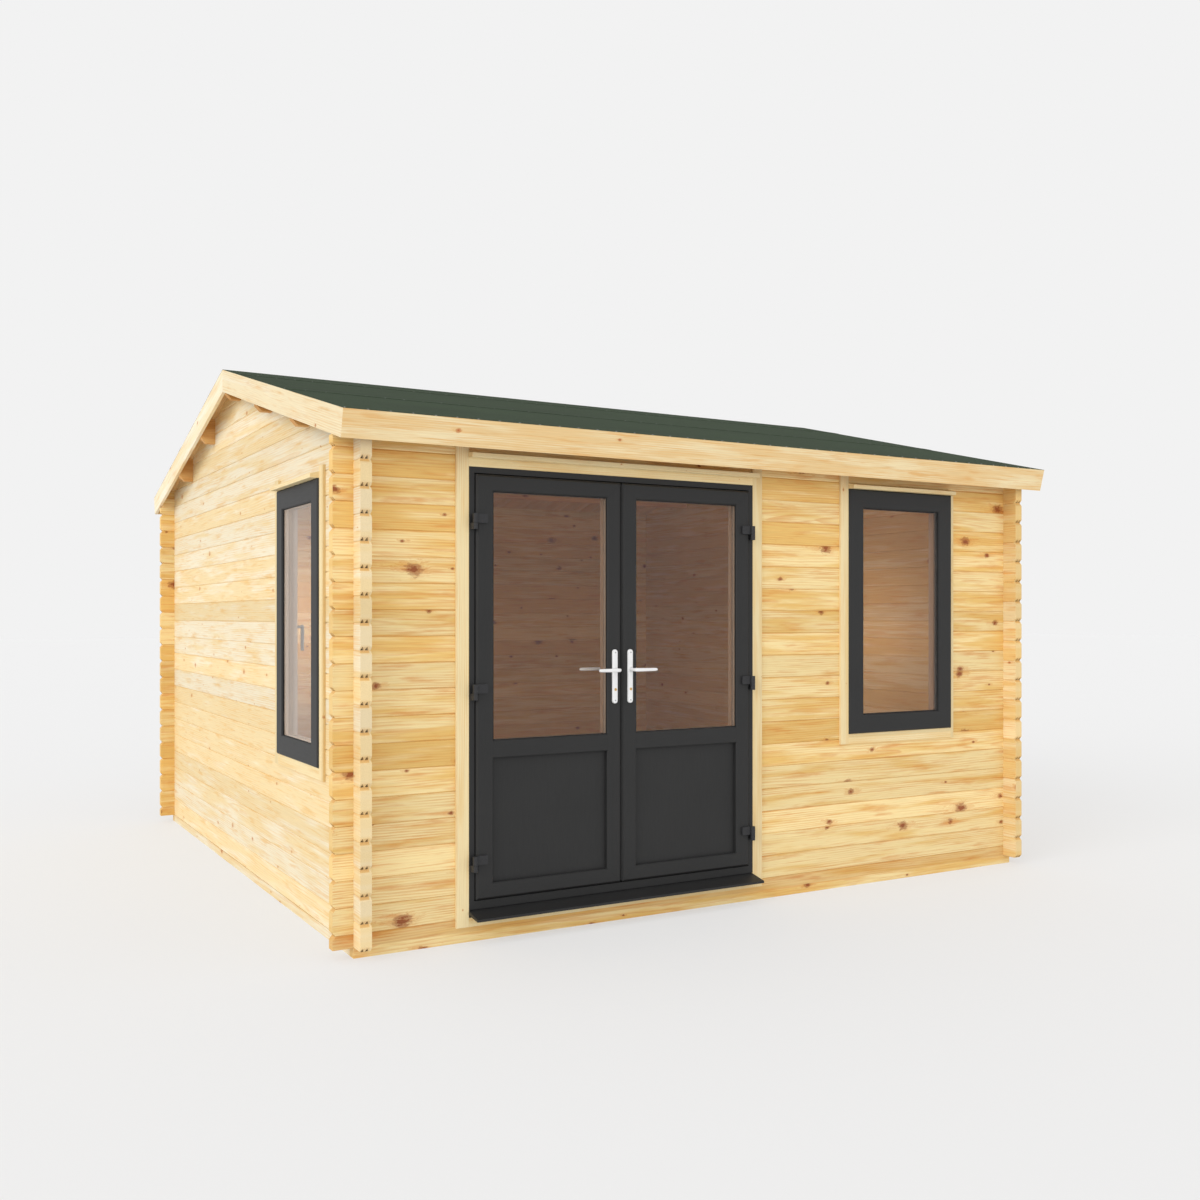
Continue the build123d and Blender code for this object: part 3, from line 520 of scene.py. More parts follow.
def log_place(axis, bottom):
    """Grain along a wall of logs whose joints start at the height bottom."""

    def place(g):
        spot = object_place(g)
        lift = g.math("DIVIDE", g.minus(spot[2], bottom), LOG_HEIGHT)
        row = g.math("FLOOR", lift)
        across = g.product(g.minus(lift, row), LOG_HEIGHT)
        side = g.math("SIGN", spot[1 - axis])
        seed = g.scaled(side, 40.0, g.plus(row, 100.0 + 300.0 * axis))
        normal = g.split(g.node("ShaderNodeNewGeometry").outputs["True Normal"])
        end = g.above(g.absolute(normal[axis]), 0.6)
        past_corner = g.above(g.absolute(spot[axis]), HALF_DEPTH + END_REACH)
        outer = g.product(end, past_corner)
        # the pockets and the strip round them, where painted shade goes
        inset = g.minus(HALF_DEPTH, g.absolute(spot[1 - axis]))
        off_middle = g.absolute(g.minus(inset, POCKET_INSET))
        half_width = g.product(g.minus(POCKET_TOP, across), POCKET_SLOPE)
        pocket = g.within(off_middle, POCKET_SPREAD, half_width)
        pocket = g.product(pocket, g.above(across, POCKET_FOOT), outer)
        strip = g.product(g.below(off_middle, STRIP_HALF), outer)
        return spot[axis], across, spot[1 - axis], seed, end, (pocket, strip)

    return place


def straight_place(axis, seed_at=None):
    """Grain along X, Y or Z (0, 1, 2), or level along any wall (3). A board's place
    across, or along the axis seed_at, picks its seed."""

    def place(g):
        spot = object_place(g)
        level = g.plus(spot[0], spot[1])
        skew = g.minus(spot[0], spot[1])
        if axis == 2:
            along, across, through = spot[2], level, skew
        elif axis == 3:
            along, across, through = level, spot[2], skew
        else:
            along, across, through = spot[axis], spot[2], spot[1 - axis]
        seed = g.math("FLOOR", g.product(across if seed_at is None else spot[seed_at], 5.0))
        normal = g.split(g.node("ShaderNodeNewGeometry").outputs["True Normal"])
        facing = normal[axis] if axis < 3 else 0.0
        end = g.above(g.absolute(facing), 0.7)
        return along, across, through, seed, end, 0.0

    return place


def slope_place(g):
    """Distances down the slope and square to it, the same on both slopes."""
    spot = object_place(g)
    out = g.absolute(spot[1])
    cosine, sine = math.cos(PITCH), math.sin(PITCH)
    down = g.minus(g.product(out, cosine), g.product(spot[2], sine))
    up = g.plus(g.product(out, sine), g.product(spot[2], cosine))
    return spot, down, up


def barge_place(g):
    """Grain down each slope of the gable boards."""
    spot, down, up = slope_place(g)
    seed = g.plus(g.math("SIGN", spot[0]), g.product(g.math("SIGN", spot[1]), 3.0))
    return down, up, spot[0], g.plus(seed, 70.0), 0.0, 0.0


def fascia_place(g):
    """Grain along the eaves boards, which stand square to the slope."""
    spot, down, up = slope_place(g)
    return spot[0], up, down, g.scaled(g.math("SIGN", spot[1]), 5.0, 90.0), 0.0, 0.0


def pile_place(g):
    """Grain kept in a pile's own attributes."""
    grain = g.split(g.node("ShaderNodeAttribute", attribute_name="grain").outputs["Vector"])
    seed = g.node("ShaderNodeAttribute", attribute_name="seed").outputs["Fac"]
    return grain[0], grain[1], grain[2], seed, 0.0, 0.0


def palette(pale, honey, amber, knot):
    return {"pale": pale, "honey": honey, "amber": amber, "knot": knot}


# The walls are one wood: the left wall's paler palette and paler joints are painted light on its lit side,
# and the right wall's deeper palette is painted shade on the shaded faces of its log ends.
FRONT_WOOD = palette((0.86, 0.68, 0.34), (0.76, 0.49, 0.155), (0.64, 0.235, 0.04), (0.25, 0.052, 0.011))
# The front's bottom log gets a darker palette: painted shade near the ground.
SOLE_WOOD = palette((0.73, 0.51, 0.22), (0.67, 0.39, 0.11), (0.56, 0.19, 0.035), (0.3, 0.05, 0.008))
SIDE_WOOD = palette((0.81, 0.72, 0.53), (0.79, 0.62, 0.34), (0.73, 0.43, 0.13), (0.48, 0.15, 0.03))
RIGHT_WOOD = palette((0.84, 0.69, 0.41), (0.77, 0.54, 0.22), (0.68, 0.31, 0.07), (0.4, 0.09, 0.015))
TRIM_WOOD = palette((0.80, 0.66, 0.38), (0.76, 0.57, 0.28), (0.70, 0.39, 0.12), (0.45, 0.13, 0.025))
# The barge boards on the lit gable get a paler palette than the eaves fascias: painted light.
BARGE_WOOD = palette((0.87, 0.79, 0.61), (0.84, 0.71, 0.46), (0.72, 0.42, 0.14), (0.45, 0.13, 0.025))
FASCIA_WOOD = palette((0.83, 0.69, 0.42), (0.77, 0.55, 0.27), (0.70, 0.37, 0.11), (0.46, 0.12, 0.025))
# Purlins and roof boards get a darker, more orange palette: painted shade under the roof.
PURLIN_WOOD = palette((0.70, 0.42, 0.16), (0.60, 0.30, 0.085), (0.50, 0.18, 0.035), (0.25, 0.05, 0.01))
EAVES_WOOD = palette((0.76, 0.53, 0.26), (0.68, 0.42, 0.16), (0.60, 0.27, 0.07), (0.30, 0.07, 0.015))
FRONT_JOINT = (0.62, 0.30, 0.07)
SIDE_JOINT = (0.76, 0.50, 0.20)

front_logs = log_place(0, FRONT_LOGS_BOTTOM)
side_logs = log_place(1, SIDE_LOGS_BOTTOM)
logs_front = wood("logs_front", front_logs, joint=FRONT_JOINT, knots=1.6, flame=1.1, **FRONT_WOOD)
logs_sole = wood("logs_sole", front_logs, joint=FRONT_JOINT, knots=1.4, flame=1.1, **SOLE_WOOD)
logs_right = wood("logs_right", side_logs, joint=SIDE_JOINT, knots=0.9, flame=1.2, **RIGHT_WOOD)
logs_side = wood("logs_side", side_logs, joint=SIDE_JOINT, knots=0.8, flame=1.2, **SIDE_WOOD)
fascia_wood = wood("fascia_wood", fascia_place, knots=0.7, flame=1.4, **FASCIA_WOOD)
barge_wood = wood("barge_wood", barge_place, knots=0.6, flame=1.0, **BARGE_WOOD)
upright_wood = wood("upright_wood", straight_place(2), knots=0.4, flame=0.5, **TRIM_WOOD)
level_wood = wood("level_wood", straight_place(3), knots=0.4, flame=0.5, **TRIM_WOOD)
purlin_wood = wood("purlin_wood", straight_place(0, 1), **PURLIN_WOOD)
bearer_wood_x = wood("bearer_wood_x", straight_place(0, 1), **FRONT_WOOD)
bearer_wood_y = wood("bearer_wood_y", straight_place(1, 0), **SIDE_WOOD)
floor_wood = wood("floor_wood", pile_place, knots=0.8, **TRIM_WOOD)
roof_wood = wood("roof_wood", pile_place, knots=0.8, **EAVES_WOOD)


def foil(name, wall, centre=(0, 0), half=(FAR, FAR), rail=None, inside=-FAR, bare=BARE_PROFILE):
    """Anthracite foil with a woodgrain emboss along each member of a mitred frame.

    centre and half are the frame's middle and half size in its wall's axes, rail the
    level rail (low, high, start, end) between the stiles. The glazed opening's reveal
    is bare below the height inside, measured outward."""
    g = Graph(name)
    coordinates = g.node("ShaderNodeTexCoord")
    spot = g.split(coordinates.outputs["Object"])
    normal = g.split(coordinates.outputs["Normal"])
    axes = []
    for row in wall.inverted().to_3x3():
        index = max(range(3), key=lambda i: abs(row[i]))
        axes.append(g.product(spot[index], row[index]))
    across, up, out = axes
    reveal = g.below(g.absolute(normal[index]), 0.5)
    to_side = g.minus(g.absolute(g.minus(across, centre[0])), half[0])
    to_end = g.minus(g.absolute(g.minus(up, centre[1])), half[1])
    upright = g.above(to_side, to_end)
    seam = g.within(to_side, to_end, SEAM)
    if rail:
        low, high, start, end = rail
        in_rail = g.product(g.above(up, low), g.below(up, high))
        off_centre = g.absolute(g.minus(across, (start + end) / 2))
        beside = g.minus(off_centre, (end - start) / 2)
        on_rail = g.product(in_rail, g.below(beside, 0.0))
        upright = g.product(upright, g.minus(1.0, on_rail))
        joint = g.product(in_rail, g.below(g.absolute(beside), SEAM))
        seam = g.math("MAXIMUM", g.product(seam, g.minus(1.0, in_rail)), joint)
    fine, coarse = 430.0, 16.0
    x = g.product(across, g.scaled(upright, fine - coarse, coarse))
    y = g.product(up, g.scaled(upright, coarse - fine, fine))
    grain = g.noise(g.vector(x, y, g.product(out, fine)), 1.0, 3.0, 0.6)
    cloud = g.noise(g.vector(across, up, out), 3.0, 2.0)
    shade = g.product(
        g.scaled(grain, 0.6, 0.7),
        g.scaled(cloud, 0.2, 0.9),
        g.scaled(seam, -0.45, 1.0),
    )
    body = g.tint(ANTHRACITE, shade)
    behind = g.product(reveal, g.below(out, inside))
    in_opening = g.below(g.math("MAXIMUM", to_side, to_end), -FRAME_RIM)
    if rail:
        in_opening = g.product(in_opening, g.above(up, rail[1] - 0.002))
    uncovered = g.tint(bare, g.scaled(grain, 0.1, 0.95))
    body = g.blend(g.product(behind, in_opening), body, uncovered)
    return g.finish(
        Base_Color=body,
        Roughness=g.scaled(grain, 0.2, 0.42),
        Specular_IOR_Level=0.25,
        Normal=g.bump(g.minus(grain, seam), 0.0004, 0.5),
    )


def speckled(name, base, dark, scale, roughness, relief, metallic=0.0, specular=0.3):
    """A surface with a fine mottle in colour, gloss and relief."""
    g = Graph(name)
    spot = g.node("ShaderNodeTexCoord").outputs["Object"]
    fine = g.noise(spot, scale, 4.0, 0.6)
    return g.finish(
        Base_Color=g.blend(g.steps(fine, 0.3, 0.7), dark, base),
        Roughness=g.scaled(fine, 0.15, roughness),
        Metallic=metallic,
        Specular_IOR_Level=specular,
        Normal=g.bump(fine, relief, 0.4),
    )


def felt_surface():
    """Mineral felt: green slate chips, streaked along the roll."""
    g = Graph("mineral_felt")
    spot = g.node("ShaderNodeTexCoord").outputs["Object"]
    x, y, z = g.split(spot)
    chips = g.node("ShaderNodeTexVoronoi", {"Vector": spot, "Scale": 420.0})
    chip = g.split(chips.outputs["Color"])[0]
    streak = g.noise(g.vector(g.product(x, 0.6), g.product(y, 9.0), z), 1.0, 3.0)
    patch = g.noise(spot, 1.3, 3.0)
    body = g.blend(chip, (0.0095, 0.0215, 0.0065), (0.029, 0.052, 0.021))
    level = g.plus(g.product(streak, 0.5), g.scaled(patch, 0.4, 0.55))
    return g.finish(
        Base_Color=g.tint(body, level),
        Roughness=g.scaled(chip, 0.15, 0.8),
        Specular_IOR_Level=0.2,
        Normal=g.bump(chips.outputs["Distance"], 0.0006, 0.5),
    )


def clear_glass():
    """Float glass: what is behind it, a faint tint and a reflection by angle."""
    g = Graph("clear_glass")
    spot = g.node("ShaderNodeTexCoord").outputs["Object"]
    smear = g.noise(spot, 2.0, 3.0)
    g.tree.nodes.remove(g.shader)
    through = g.node("ShaderNodeBsdfTransparent", {"Color": (0.97, 0.96, 0.95, 1)})
    mirror = g.node(
        "ShaderNodeBsdfGlossy",
        {"Color": (1, 1, 1, 1), "Roughness": g.scaled(smear, 0.05, 0.01)},
    )
    facing = g.node("ShaderNodeLayerWeight", {"Blend": 0.5}).outputs["Facing"]
    share = g.scaled(g.math("POWER", facing, 5.0), 0.96 * GLASS_MIRROR, 0.04 * GLASS_MIRROR)
    both = g.node("ShaderNodeMixShader", {0: share, 1: through.outputs[0], 2: mirror.outputs[0]})
    g.tree.links.new(both.outputs[0], g.output.inputs["Surface"])
    return g.material


foil_upright = foil("foil_upright", FRONT, half=(0, FAR))
foil_level = foil("foil_level", FRONT, half=(FAR, 0))
rubber = speckled("rubber", (0.012, 0.012, 0.012), (0.008, 0.008, 0.008), 300.0, 0.6, 0.0002)
brown_spacer = speckled("brown_spacer", (0.36, 0.27, 0.2), (0.3, 0.22, 0.16), 500.0, 0.5, 0.0001)
pale_spacer = speckled("pale_spacer", (0.86, 0.74, 0.62), (0.8, 0.68, 0.56), 500.0, 0.5, 0.0001)
gasket = speckled("gasket", (0.045, 0.045, 0.045), (0.035, 0.035, 0.035), 300.0, 0.7, 0.0002)
white_metal = speckled(
    "white_metal", (0.83, 0.83, 0.83), (0.76, 0.76, 0.76), 900.0, 0.32, 0.0001, specular=0.5
)
hinge_metal = speckled("hinge_metal", (0.03, 0.03, 0.032), (0.022, 0.022, 0.024), 700.0, 0.4, 0.0001)
brass = speckled("brass", (0.72, 0.47, 0.18), (0.6, 0.38, 0.14), 600.0, 0.3, 0.0001, metallic=1.0)
zinc = speckled("zinc", (0.5, 0.5, 0.5), (0.36, 0.36, 0.37), 500.0, 0.45, 0.0001, metallic=0.8)
felt = felt_surface()
glass = clear_glass()

NODE_MATERIALS = {
    logs_sole: ("front_sole_log",),
    logs_front: (
        "front_wall_left", "front_wall_middle", "front_wall_right",
        "front_wall_under_window", "front_wall_top", "back_wall",
    ),
    logs_side: ("left_wall_lower", "left_wall_front", "left_wall_back", "left_gable"),
    logs_right: ("right_wall", "right_gable"),
    fascia_wood: ("eaves_fascias",),
    barge_wood: ("barge_boards",),
    purlin_wood: ("purlins",),
    upright_wood: ("door_side_trims", "window_side_trims"),
    level_wood: ("door_cross_trims", "window_cross_trims", "inside_casings"),
    bearer_wood_x: ("cross_bearers",),
    bearer_wood_y: ("side_bearers", "floor_joists"),
    foil_upright: ("door_jambs", "left_leaf_panel", "right_leaf_panel"),
    foil_level: ("door_head", "door_sill"),
    hinge_metal: ("left_leaf_hinges", "right_leaf_hinges", "door_hinge_pins"),
    white_metal: ("left_leaf_plates", "right_leaf_plates", "left_lever", "right_lever", "window_handles"),
    brass: ("left_leaf_lock", "right_leaf_lock"),
    glass: ("left_leaf_glass", "right_leaf_glass", "window_glass"),
    felt: ("roof_felt",),
    floor_wood: ("floor_boards",),
    roof_wood: ("front_roof_boards", "back_roof_boards"),
}


def dress(name, material):
    """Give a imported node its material."""
    slots = frame["nodes"][name].data.materials
    slots.clear()
    slots.append(material)


for material, names in NODE_MATERIALS.items():
    for name in names:
        dress(name, material)


def frame_box(node, wall):
    """Low and high corner of a node in a wall's own axes (along, up, outward)."""
    back = wall.inverted()
    corners = [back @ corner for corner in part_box(node)]
    low = Vector(min(a, b) for a, b in zip(*corners))
    high = Vector(max(a, b) for a, b in zip(*corners))
    return low, high


def middle_and_half(low, high):
    """Middle and half size of a box, along and up its wall."""
    return ((low.x + high.x) / 2, (low.y + high.y) / 2), ((high.x - low.x) / 2, (high.y - low.y) / 2)


for name in ("left_leaf", "right_leaf"):
    low, high = frame_box(name + "_frame", FRONT)
    panel_top = frame_box(name + "_panel", FRONT)[1].y
    glass_low, glass_high = frame_box(name + "_glass", FRONT)
    middle, half = middle_and_half(low, high)
    rail = (panel_top, glass_low.y, glass_low.x, glass_high.x)
    dress(name + "_frame", foil("foil_" + name, FRONT, middle, half, rail, high.z - DARK_REVEAL))

for name, wall, reveal, bare in (
    ("front_window", FRONT, DARK_REVEAL + PANE, BARE_PROFILE),
    ("left_window", LEFT, WINDOW_SETBACK + PANE, PALE_PROFILE),
):
    low, high = frame_box(name + "_frame", wall)
    middle, half = middle_and_half(low, high)
    dress(name + "_frame", foil("foil_" + name, wall, middle, half, None, high.z - reveal, bare))

draw = random.Random(7)


# ---- roof boards and floor boards ----------------------------------------------------
def plank_profile(width, thickness, lip):
    """Section of a tongue-and-groove board, V-edged on its underside."""
    return [
        (0, 0), (width, 0), (width, -thickness + lip), (width - lip, -thickness),
        (lip, -thickness), (0, -thickness + lip),
    ]


def add_planks(pile, place, length, first, last, thickness, lip):
    """Boards side by side from first to last, all of one length, top at height 0."""
    count = round((last - first) / BOARD_COVER)
    cover = (last - first) / count
    for i in range(count):
        start = first + i * cover
        section = plank_profile(cover - BOARD_GAP, thickness, lip)
        loops = [[(x, start + y, z) for y, z in section] for x in (0, length)]
        pile.loft(loops, place, seed=draw.random() * 1000)


def slope_matrix(side, top, down):
    """Top of the boards of one slope: x down the slope, y along the ridge, z up."""
    across = Vector((0, side * math.cos(PITCH), -math.sin(PITCH)))
    normal = Vector((0, side * math.sin(PITCH), math.cos(PITCH)))
    ridge = normal.cross(across)
    turn = Matrix((across, ridge, normal)).transposed().to_4x4()
    return Matrix.Translation((0, 0, top)) @ turn @ Matrix.Translation((0, 0, -down))


felt_low, felt_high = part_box("roof_felt")
RIDGE = felt_high.z
SLOPE_LENGTH = felt_high.y / math.cos(PITCH)
for side, name in ((-1, "front_roof_boards"), (1, "back_roof_boards")):
    low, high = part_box(name)
    reach = max(abs(low.y), abs(high.y)) / math.cos(PITCH)
    ridge_gap = ROOF_BOARD * math.tan(PITCH)
    place = slope_matrix(side, RIDGE, FELT) @ Matrix.Translation((ridge_gap, 0, 0))
    pile = Pile()
    add_planks(pile, place, reach - 2 * ridge_gap, low.x, high.x, ROOF_BOARD, ROOF_LIP)
    pile.build(name + "_planks", roof_wood, "cabin", [name])

low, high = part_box("floor_boards")
pile = Pile()
start = Matrix.Translation((low.x, 0, high.z))
add_planks(pile, start, high.x - low.x, low.y, high.y, high.z - low.z, FLOOR_LIP)
pile.build("floor_planks", floor_wood, "cabin", ["floor_boards"])


# ---- felt ----------------------------------------------------------------------------
def felt_strip(pile, side, start, end, lap_from, seed):
    """One roll's width down one slope, from start to end, over the strip below."""
    length = felt_high.x - felt_low.x
    wave = random.Random(seed)
    phases = [(wave.uniform(2, 9), wave.uniform(0, 6.28)) for _ in range(3)]
    place = slope_matrix(side, RIDGE, FELT)
    rows = []
    for i in range(FELT_STEPS_S + 1):
        s = start + (end - start) * i / FELT_STEPS_S
        lift = 0.0
        if lap_from is not None:
            rise = min(max((s - lap_from) / LAP_RUN, 0.0), 1.0)
            lift = FELT_SHEET * rise
        row = []
        for j in range(FELT_STEPS_X + 1):
            x = -length / 2 + length * j / FELT_STEPS_X
            ripple = sum(math.sin(k * x + p) for k, p in phases) / 6 + 0.5
            row.append((s, x, lift + RIPPLE * ripple))
        rows.append(row)
    columns = FELT_STEPS_X + 1
    count = len(rows) * columns
    points = [p for row in rows for p in row]
    points += [(s, x, z + FELT_SHEET) for s, x, z in points]
    faces = []
    for i in range(FELT_STEPS_S):
        for j in range(FELT_STEPS_X):
            a = i * columns + j
            quad = (a, a + 1, a + columns + 1, a + columns)
            faces.append(tuple(reversed(quad)))
            faces.append(tuple(count + q for q in quad))
    border = list(range(columns))
    border += [i * columns + columns - 1 for i in range(1, len(rows))]
    border += [(len(rows) - 1) * columns + j for j in range(columns - 2, -1, -1)]
    border += [i * columns for i in range(len(rows) - 2, 0, -1)]
    for a, b in zip(border, border[1:] + border[:1]):
        faces.append((a, b, count + b, count + a))
    pile.add(points, faces, place, seed)


lower_top = SLOPE_LENGTH - FELT_WIDTH
middle_top = lower_top + FELT_LAP - FELT_WIDTH
pile = Pile()
for side in (-1, 1):
    felt_strip(pile, side, lower_top, SLOPE_LENGTH, None, 11 + side)
    felt_strip(pile, side, middle_top, lower_top + FELT_LAP, lower_top - LAP_RUN, 21 + side)
    felt_strip(pile, side, 0.0, middle_top + FELT_LAP, middle_top - LAP_RUN, 31 + side)
pile.build("felt_strips", felt, "cabin", ["roof_felt"])

first, last = felt_low.x + NAIL_EDGE, felt_high.x - NAIL_EDGE
count = round((felt_high.x - felt_low.x) / NAIL_STEP)
pile = Pile()
for side in (-1, 1):
    place = slope_matrix(side, RIDGE, NAIL_SINK)
    for line in (
        lower_top + FELT_LAP - 2 * NAIL_EDGE, middle_top + FELT_LAP - 2 * NAIL_EDGE, SLOPE_LENGTH - NAIL_EDGE,
    ):
        for i in range(count + 1):
            wander = draw.uniform(-NAIL_WANDER, NAIL_WANDER)
            spot = Matrix.Translation((line + wander, first + (last - first) * i / count, 0))
            pile.lathe(NAIL, place @ spot, sides=8)
pile.build("felt_nails", zinc, "cabin", smooth=40)


# ---- panes, spacers, seals -----------------------------------------------------------
def glaze(name, wall, low, high, body, replaces, lining):
    """Two panes with a spacer between them, a rubber seal in front and one behind.
    lining is the material of the spacer and the inner seal."""
    panes = Pile()
    panes.box((low.x, low.y, high.z - PANE), high, wall, ease=0.0003)
    panes.box(low, (high.x, high.y, low.z + PANE), wall, ease=0.0003)
    panes.build(name + "_panes", glass, body, replaces)
    inner = (low.x + SPACER_SIGHT, low.y + SPACER_SIGHT), (high.x - SPACER_SIGHT, high.y - SPACER_SIGHT)
    depth = high.z - low.z - 2 * PANE
    spacer = Pile()
    profile = [(0, 0), (SPACER_SIGHT, 0), (SPACER_SIGHT, -depth), (0, -depth)]
    spacer.ring(*inner, profile, wall @ Matrix.Translation((0, 0, high.z - PANE)))
    outer = (low.x, low.y), (high.x, high.y)
    spacer.ring(*outer, [(out, -up) for out, up in SEAL], wall @ Matrix.Translation((0, 0, low.z)))
    spacer.build(name + "_spacer", lining, body)
    seal = Pile()
    seal.ring(*outer, SEAL, wall @ Matrix.Translation((0, 0, high.z)))
    seal.build(name + "_seals", rubber, body, smooth=30)


for name in ("left_leaf", "right_leaf"):
    glaze(name, FRONT, *frame_box(name + "_glass", FRONT), name, [name + "_glass"], brown_spacer)

for name, wall, lining in (("front_window", FRONT, gasket), ("left_window", LEFT, pale_spacer)):
    low, high = frame_box(name + "_frame", wall)
    front = high.z - WINDOW_SETBACK
    low = Vector((low.x + WINDOW_BORDER, low.y + WINDOW_BORDER, front - WINDOW_UNIT))
    high = Vector((high.x - WINDOW_BORDER, high.y - WINDOW_BORDER, front))
    glaze(name, wall, low, high, "cabin", ["window_glass"], lining)


def door_seals():
    """Seals in the gap between frame and leaves, and on the leaves' meeting stiles."""
    left_low, left_high = frame_box("left_leaf_frame", FRONT)
    right_low, right_high = frame_box("right_leaf_frame", FRONT)
    front = frame_box("door_jambs", FRONT)[1].z - SEAL_INSET
    back = front - SEAL_DEPTH
    frame_seal = Pile()
    for start in (left_low.x - SEAL_GAP, right_high.x + SEAL_CLEAR):
        end = start + SEAL_GAP - SEAL_CLEAR
        frame_seal.box((start, left_low.y, back), (end, left_high.y, front), FRONT, ease=0.0006)
    frame_seal.build("door_frame_seals", gasket, "cabin")
    front = left_high.z - SEAL_INSET
    back = front - SEAL_DEPTH
    for name, start, end in (
        ("left_leaf", left_high.x, left_high.x + SEAL_MEET),
        ("right_leaf", right_low.x - SEAL_MEET, right_low.x),
    ):
        strip = Pile()
        strip.box((start, left_low.y + 0.01, back), (end, left_high.y - 0.01, front), FRONT, ease=0.0006)
        strip.build(name + "_meeting_seal", gasket, name)


door_seals()


# ---- handles, locks, hinge screws ----------------------------------------------------
def rounded_rect(half_a, half_b, corner, steps=6):
    """Outline of a rectangle with round corners, counter-clockwise."""
    points = []
    for quarter, (sa, sb) in enumerate(((1, 1), (-1, 1), (-1, -1), (1, -1))):
        for i in range(steps + 1):
            angle = math.pi / 2 * (quarter + i / steps)
            a = sa * (half_a - corner) + corner * math.cos(angle)
            b = sb * (half_b - corner) + corner * math.sin(angle)
            points.append((a, b))
    return points


def add_plate(pile, wall, middle, half, base, height, side):
    """A long handle plate with a rounded rim. side is 1 outward and -1 inward."""
    loops = []
    for inset, rise in ((0, 0), (0, 0.55), (0.0006, 0.75), (0.0018, 0.9), (0.0036, 0.98), (0.006, 1.0)):
        outline = rounded_rect(half[0] - inset, half[1] - inset, half[0] - inset - 0.0002)
        loops.append([(middle[0] + a, middle[1] + b, base + side * height * rise) for a, b in outline])
    pile.loft(loops, wall)


def lever_loops(start, side, hand, stand_off, length):
    """Loops of a lever that leaves its neck in a bend and ends in a round tip."""
    reach = stand_off - LEVER_BEND / 2
    stations = [(0.0, 0.0, 0.0, 1.0), (0.0, stand_off - 2 * LEVER_BEND, 0.0, 1.0)]
    for i in range(7):
        turn = math.pi / 2 * i / 6
        along = LEVER_BEND * (1 - math.cos(turn))
        stations.append((along, reach - LEVER_BEND * (1 - math.sin(turn)), turn, 1.0))
    for share, size in ((0.1, 1), (0.3, 1), (0.6, 1), (0.85, 1), (0.94, 0.93), (0.98, 0.75), (1.0, 0.45)):
        stations.append((LEVER_BEND + (length - LEVER_BEND) * share, reach, math.pi / 2, size))
    loops = []
    for along, out, turn, size in stations:
        bar = turn / (math.pi / 2)
        up_half = 0.0078 + 0.0009 * bar - 0.0012 * bar * along / length
        in_half = 0.0078 - 0.0022 * bar
        corner = 0.0076 - 0.0024 * bar
        loop = []
        for a, b in rounded_rect(in_half * size, up_half * size, corner * size):
            x = start.x + hand * (along + a * math.cos(turn))
            loop.append((x, start.y + b, start.z + side * (out - a * math.sin(turn))))
        loops.append(loop)
    return loops


joints = {joint["name"]: joint for joint in frame["joints"]}
for name, hand in (("left", -1), ("right", 1)):
    place = Vector(joints[name + "_lever_turn"]["pos_m"])
    low, high = frame_box(name + "_leaf_plates", FRONT)
    lever_low, lever_high = frame_box(name + "_lever", FRONT)
    pile = Pile()
    screws = Pile()
    middle, half = middle_and_half(low, high)
    for side, base in ((1, high.z - PLATE), (-1, low.z + PLATE)):
        add_plate(pile, FRONT, middle, half, base, PLATE, side)
        top = base + side * PLATE
        face = Matrix.Translation((place.x, place.z, top)) @ Matrix.Diagonal((1, 1, side, 1))
        pile.lathe(COLLAR, FRONT @ face)
        for up in (low.y + half[0] * 1.1, high.y - half[0] * 1.1):
            face = Matrix.Translation((middle[0], up, top)) @ Matrix.Diagonal((1, 1, side, 1))
            screws.lathe(SCREW, FRONT @ face, sides=16)
    plates = [name + "_leaf_plates"]
    pile.build(name + "_handle_plates", white_metal, name + "_leaf", plates, smooth=35)
    screws.build(name + "_plate_screws", zinc, name + "_leaf", smooth=35)
    bars = Pile()
    length = max(lever_high.x - place.x, place.x - lever_low.x)
    for side, top, tip in ((1, high.z, lever_high.z), (-1, low.z, lever_low.z)):
        start = Vector((place.x, place.z, top))
        bars.loft(lever_loops(start, side, hand, abs(tip - top) - LEVER_CLEAR, length), FRONT)
    spindle = Matrix.Translation((place.x, place.z, low.z))
    through = high.z - low.z
    bars.lathe([(0, 0), (SPINDLE, 0), (SPINDLE, through), (0, through)], FRONT @ spindle)
    bars.build(name + "_lever_handle", white_metal, name + "_lever", [name + "_lever"], smooth=40)
    # The keyholes are thin dark rubber boxes on the lock's faces: painted shade of the key slots.
    slot = Pile()
    lock_low, lock_high = frame_box(name + "_leaf_lock", FRONT)
    for face in (lock_low.z, lock_high.z):
        spot = Vector(((lock_low.x + lock_high.x) / 2, (lock_low.y + lock_high.y) / 2, face))
        slot.box(spot - KEYHOLE, spot + KEYHOLE, FRONT, ease=0.00005)
    slot.build(name + "_keyholes", rubber, name + "_leaf")
    caps = Pile()
    hinge_low, hinge_high = frame_box(name + "_leaf_hinges", FRONT)
    near_leaf = hinge_low.x if hand > 0 else hinge_high.x
    flag_face = hinge_low.z + FLAG
    for height in FLAG_HEIGHTS:
        for inward in FLAG_SCREWS:
            spot = Matrix.Translation((near_leaf + hand * inward, height, flag_face))
            caps.lathe(SCREW, FRONT @ spot, sides=16)
    caps.build(name + "_hinge_screws", hinge_metal, name + "_leaf", smooth=35)


# ---- camera, light, floor ------------------------------------------------------------
CAMERA_PLACE = (-3.6384, -6.9362, 1.4541)
CAMERA_HEADING = math.radians(-29.97)
SHIFT_Y = 0.0136
FLOOR_GLOW = 0.505


def add_camera():
    data = bpy.data.cameras.new("camera")
    data.lens = 36.0
    data.sensor_width = 36.0
    data.shift_y = SHIFT_Y
    data.clip_end = 200.0
    camera = bpy.data.objects.new("camera", data)
    camera.location = CAMERA_PLACE
    camera.rotation_euler = (math.radians(90), 0, CAMERA_HEADING)
    bpy.context.scene.collection.objects.link(camera)
    bpy.context.scene.camera = camera


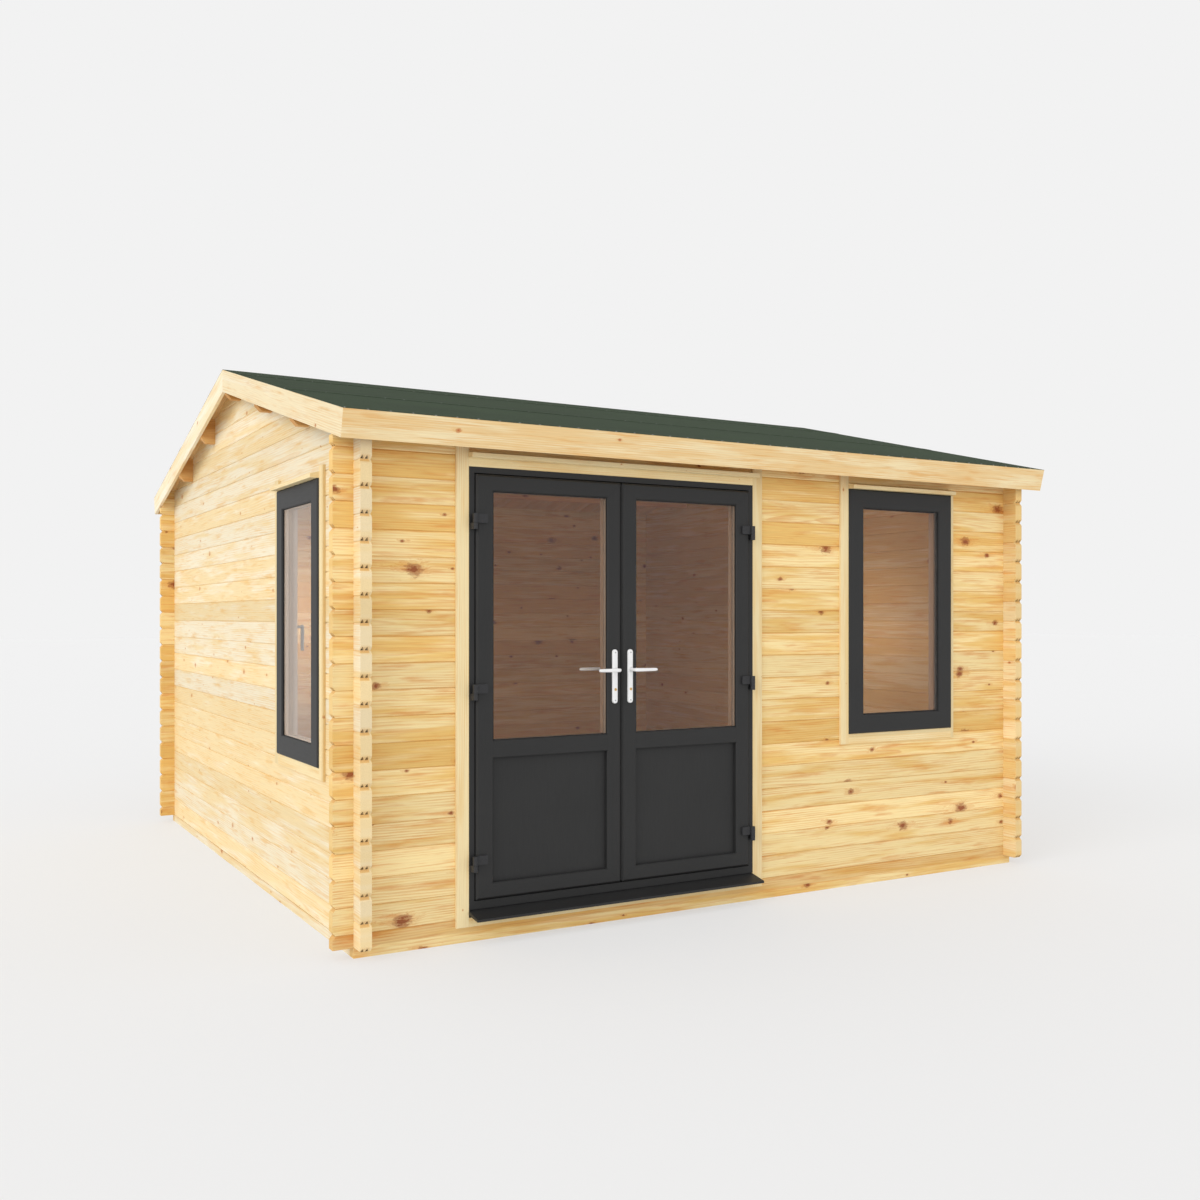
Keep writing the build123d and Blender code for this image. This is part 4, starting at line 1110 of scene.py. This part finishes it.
def add_light(name, kind, power, tint, place=(0, 0, 0), toward=None):
    """A light at a place that shines along the direction toward."""
    data = bpy.data.lights.new(name, kind)
    data.energy = power
    data.color = tint
    light = bpy.data.objects.new(name, data)
    light.location = place
    if toward is not None:
        light.rotation_euler = Vector(toward).to_track_quat("-Z", "Y").to_euler()
    bpy.context.scene.collection.objects.link(light)
    return data


def floor_surface():
    """A pale floor that glows a little, so shadows stay faint."""
    g = Graph("studio_floor")
    grain = g.noise(g.node("ShaderNodeTexCoord").outputs["Object"], 900.0, 2.0)
    level = g.scaled(grain, 0.02, 0.32)
    glow = (FLOOR_GLOW, FLOOR_GLOW, FLOOR_GLOW)
    return g.finish(
        Base_Color=g.vector(level, level, level),
        Roughness=0.9,
        Specular_IOR_Level=0.1,
        Emission_Color=glow,
        Emission_Strength=1.0,
    )


bpy.ops.mesh.primitive_plane_add(size=160)
floor = bpy.context.object
floor.name = "floor"
floor.data.materials.append(floor_surface())

add_camera()
for name, toward, strength, spread in (
    ("key", (1.0, 0.3, -0.5), 1.25, 40),
    ("fill", (0.1, 1.0, -0.12), 0.5, 60),
):
    sun = add_light(name, "SUN", strength, (1, 1, 1), toward=toward)
    sun.angle = math.radians(spread)

# lamps in the room keep its walls in view through the glass: one for the right wall,
# and one that lights only the back wall's left part, which the left window shows
lamp = add_light("room_light_right", "POINT", 8.0, (1.0, 0.82, 0.70), (1.35, -0.9, 1.4))
lamp.shadow_soft_size = 0.3
lamp = add_light("room_light_left", "SPOT", 52.0, (1.0, 0.86, 0.78), (-1.35, 0.8, 1.5), (0.25, 1.15, -0.1))
lamp.shadow_soft_size = 0.15
lamp.spot_size = math.radians(95.0)
lamp.spot_blend = 1.0

world = bpy.data.worlds.new("studio")
world.use_nodes = True
backdrop = world.node_tree.nodes["Background"]
backdrop.inputs[0].default_value = (0.888, 0.888, 0.888, 1)
backdrop.inputs[1].default_value = 1.0
bpy.context.scene.world = world
bpy.context.scene.view_settings.view_transform = "Standard"
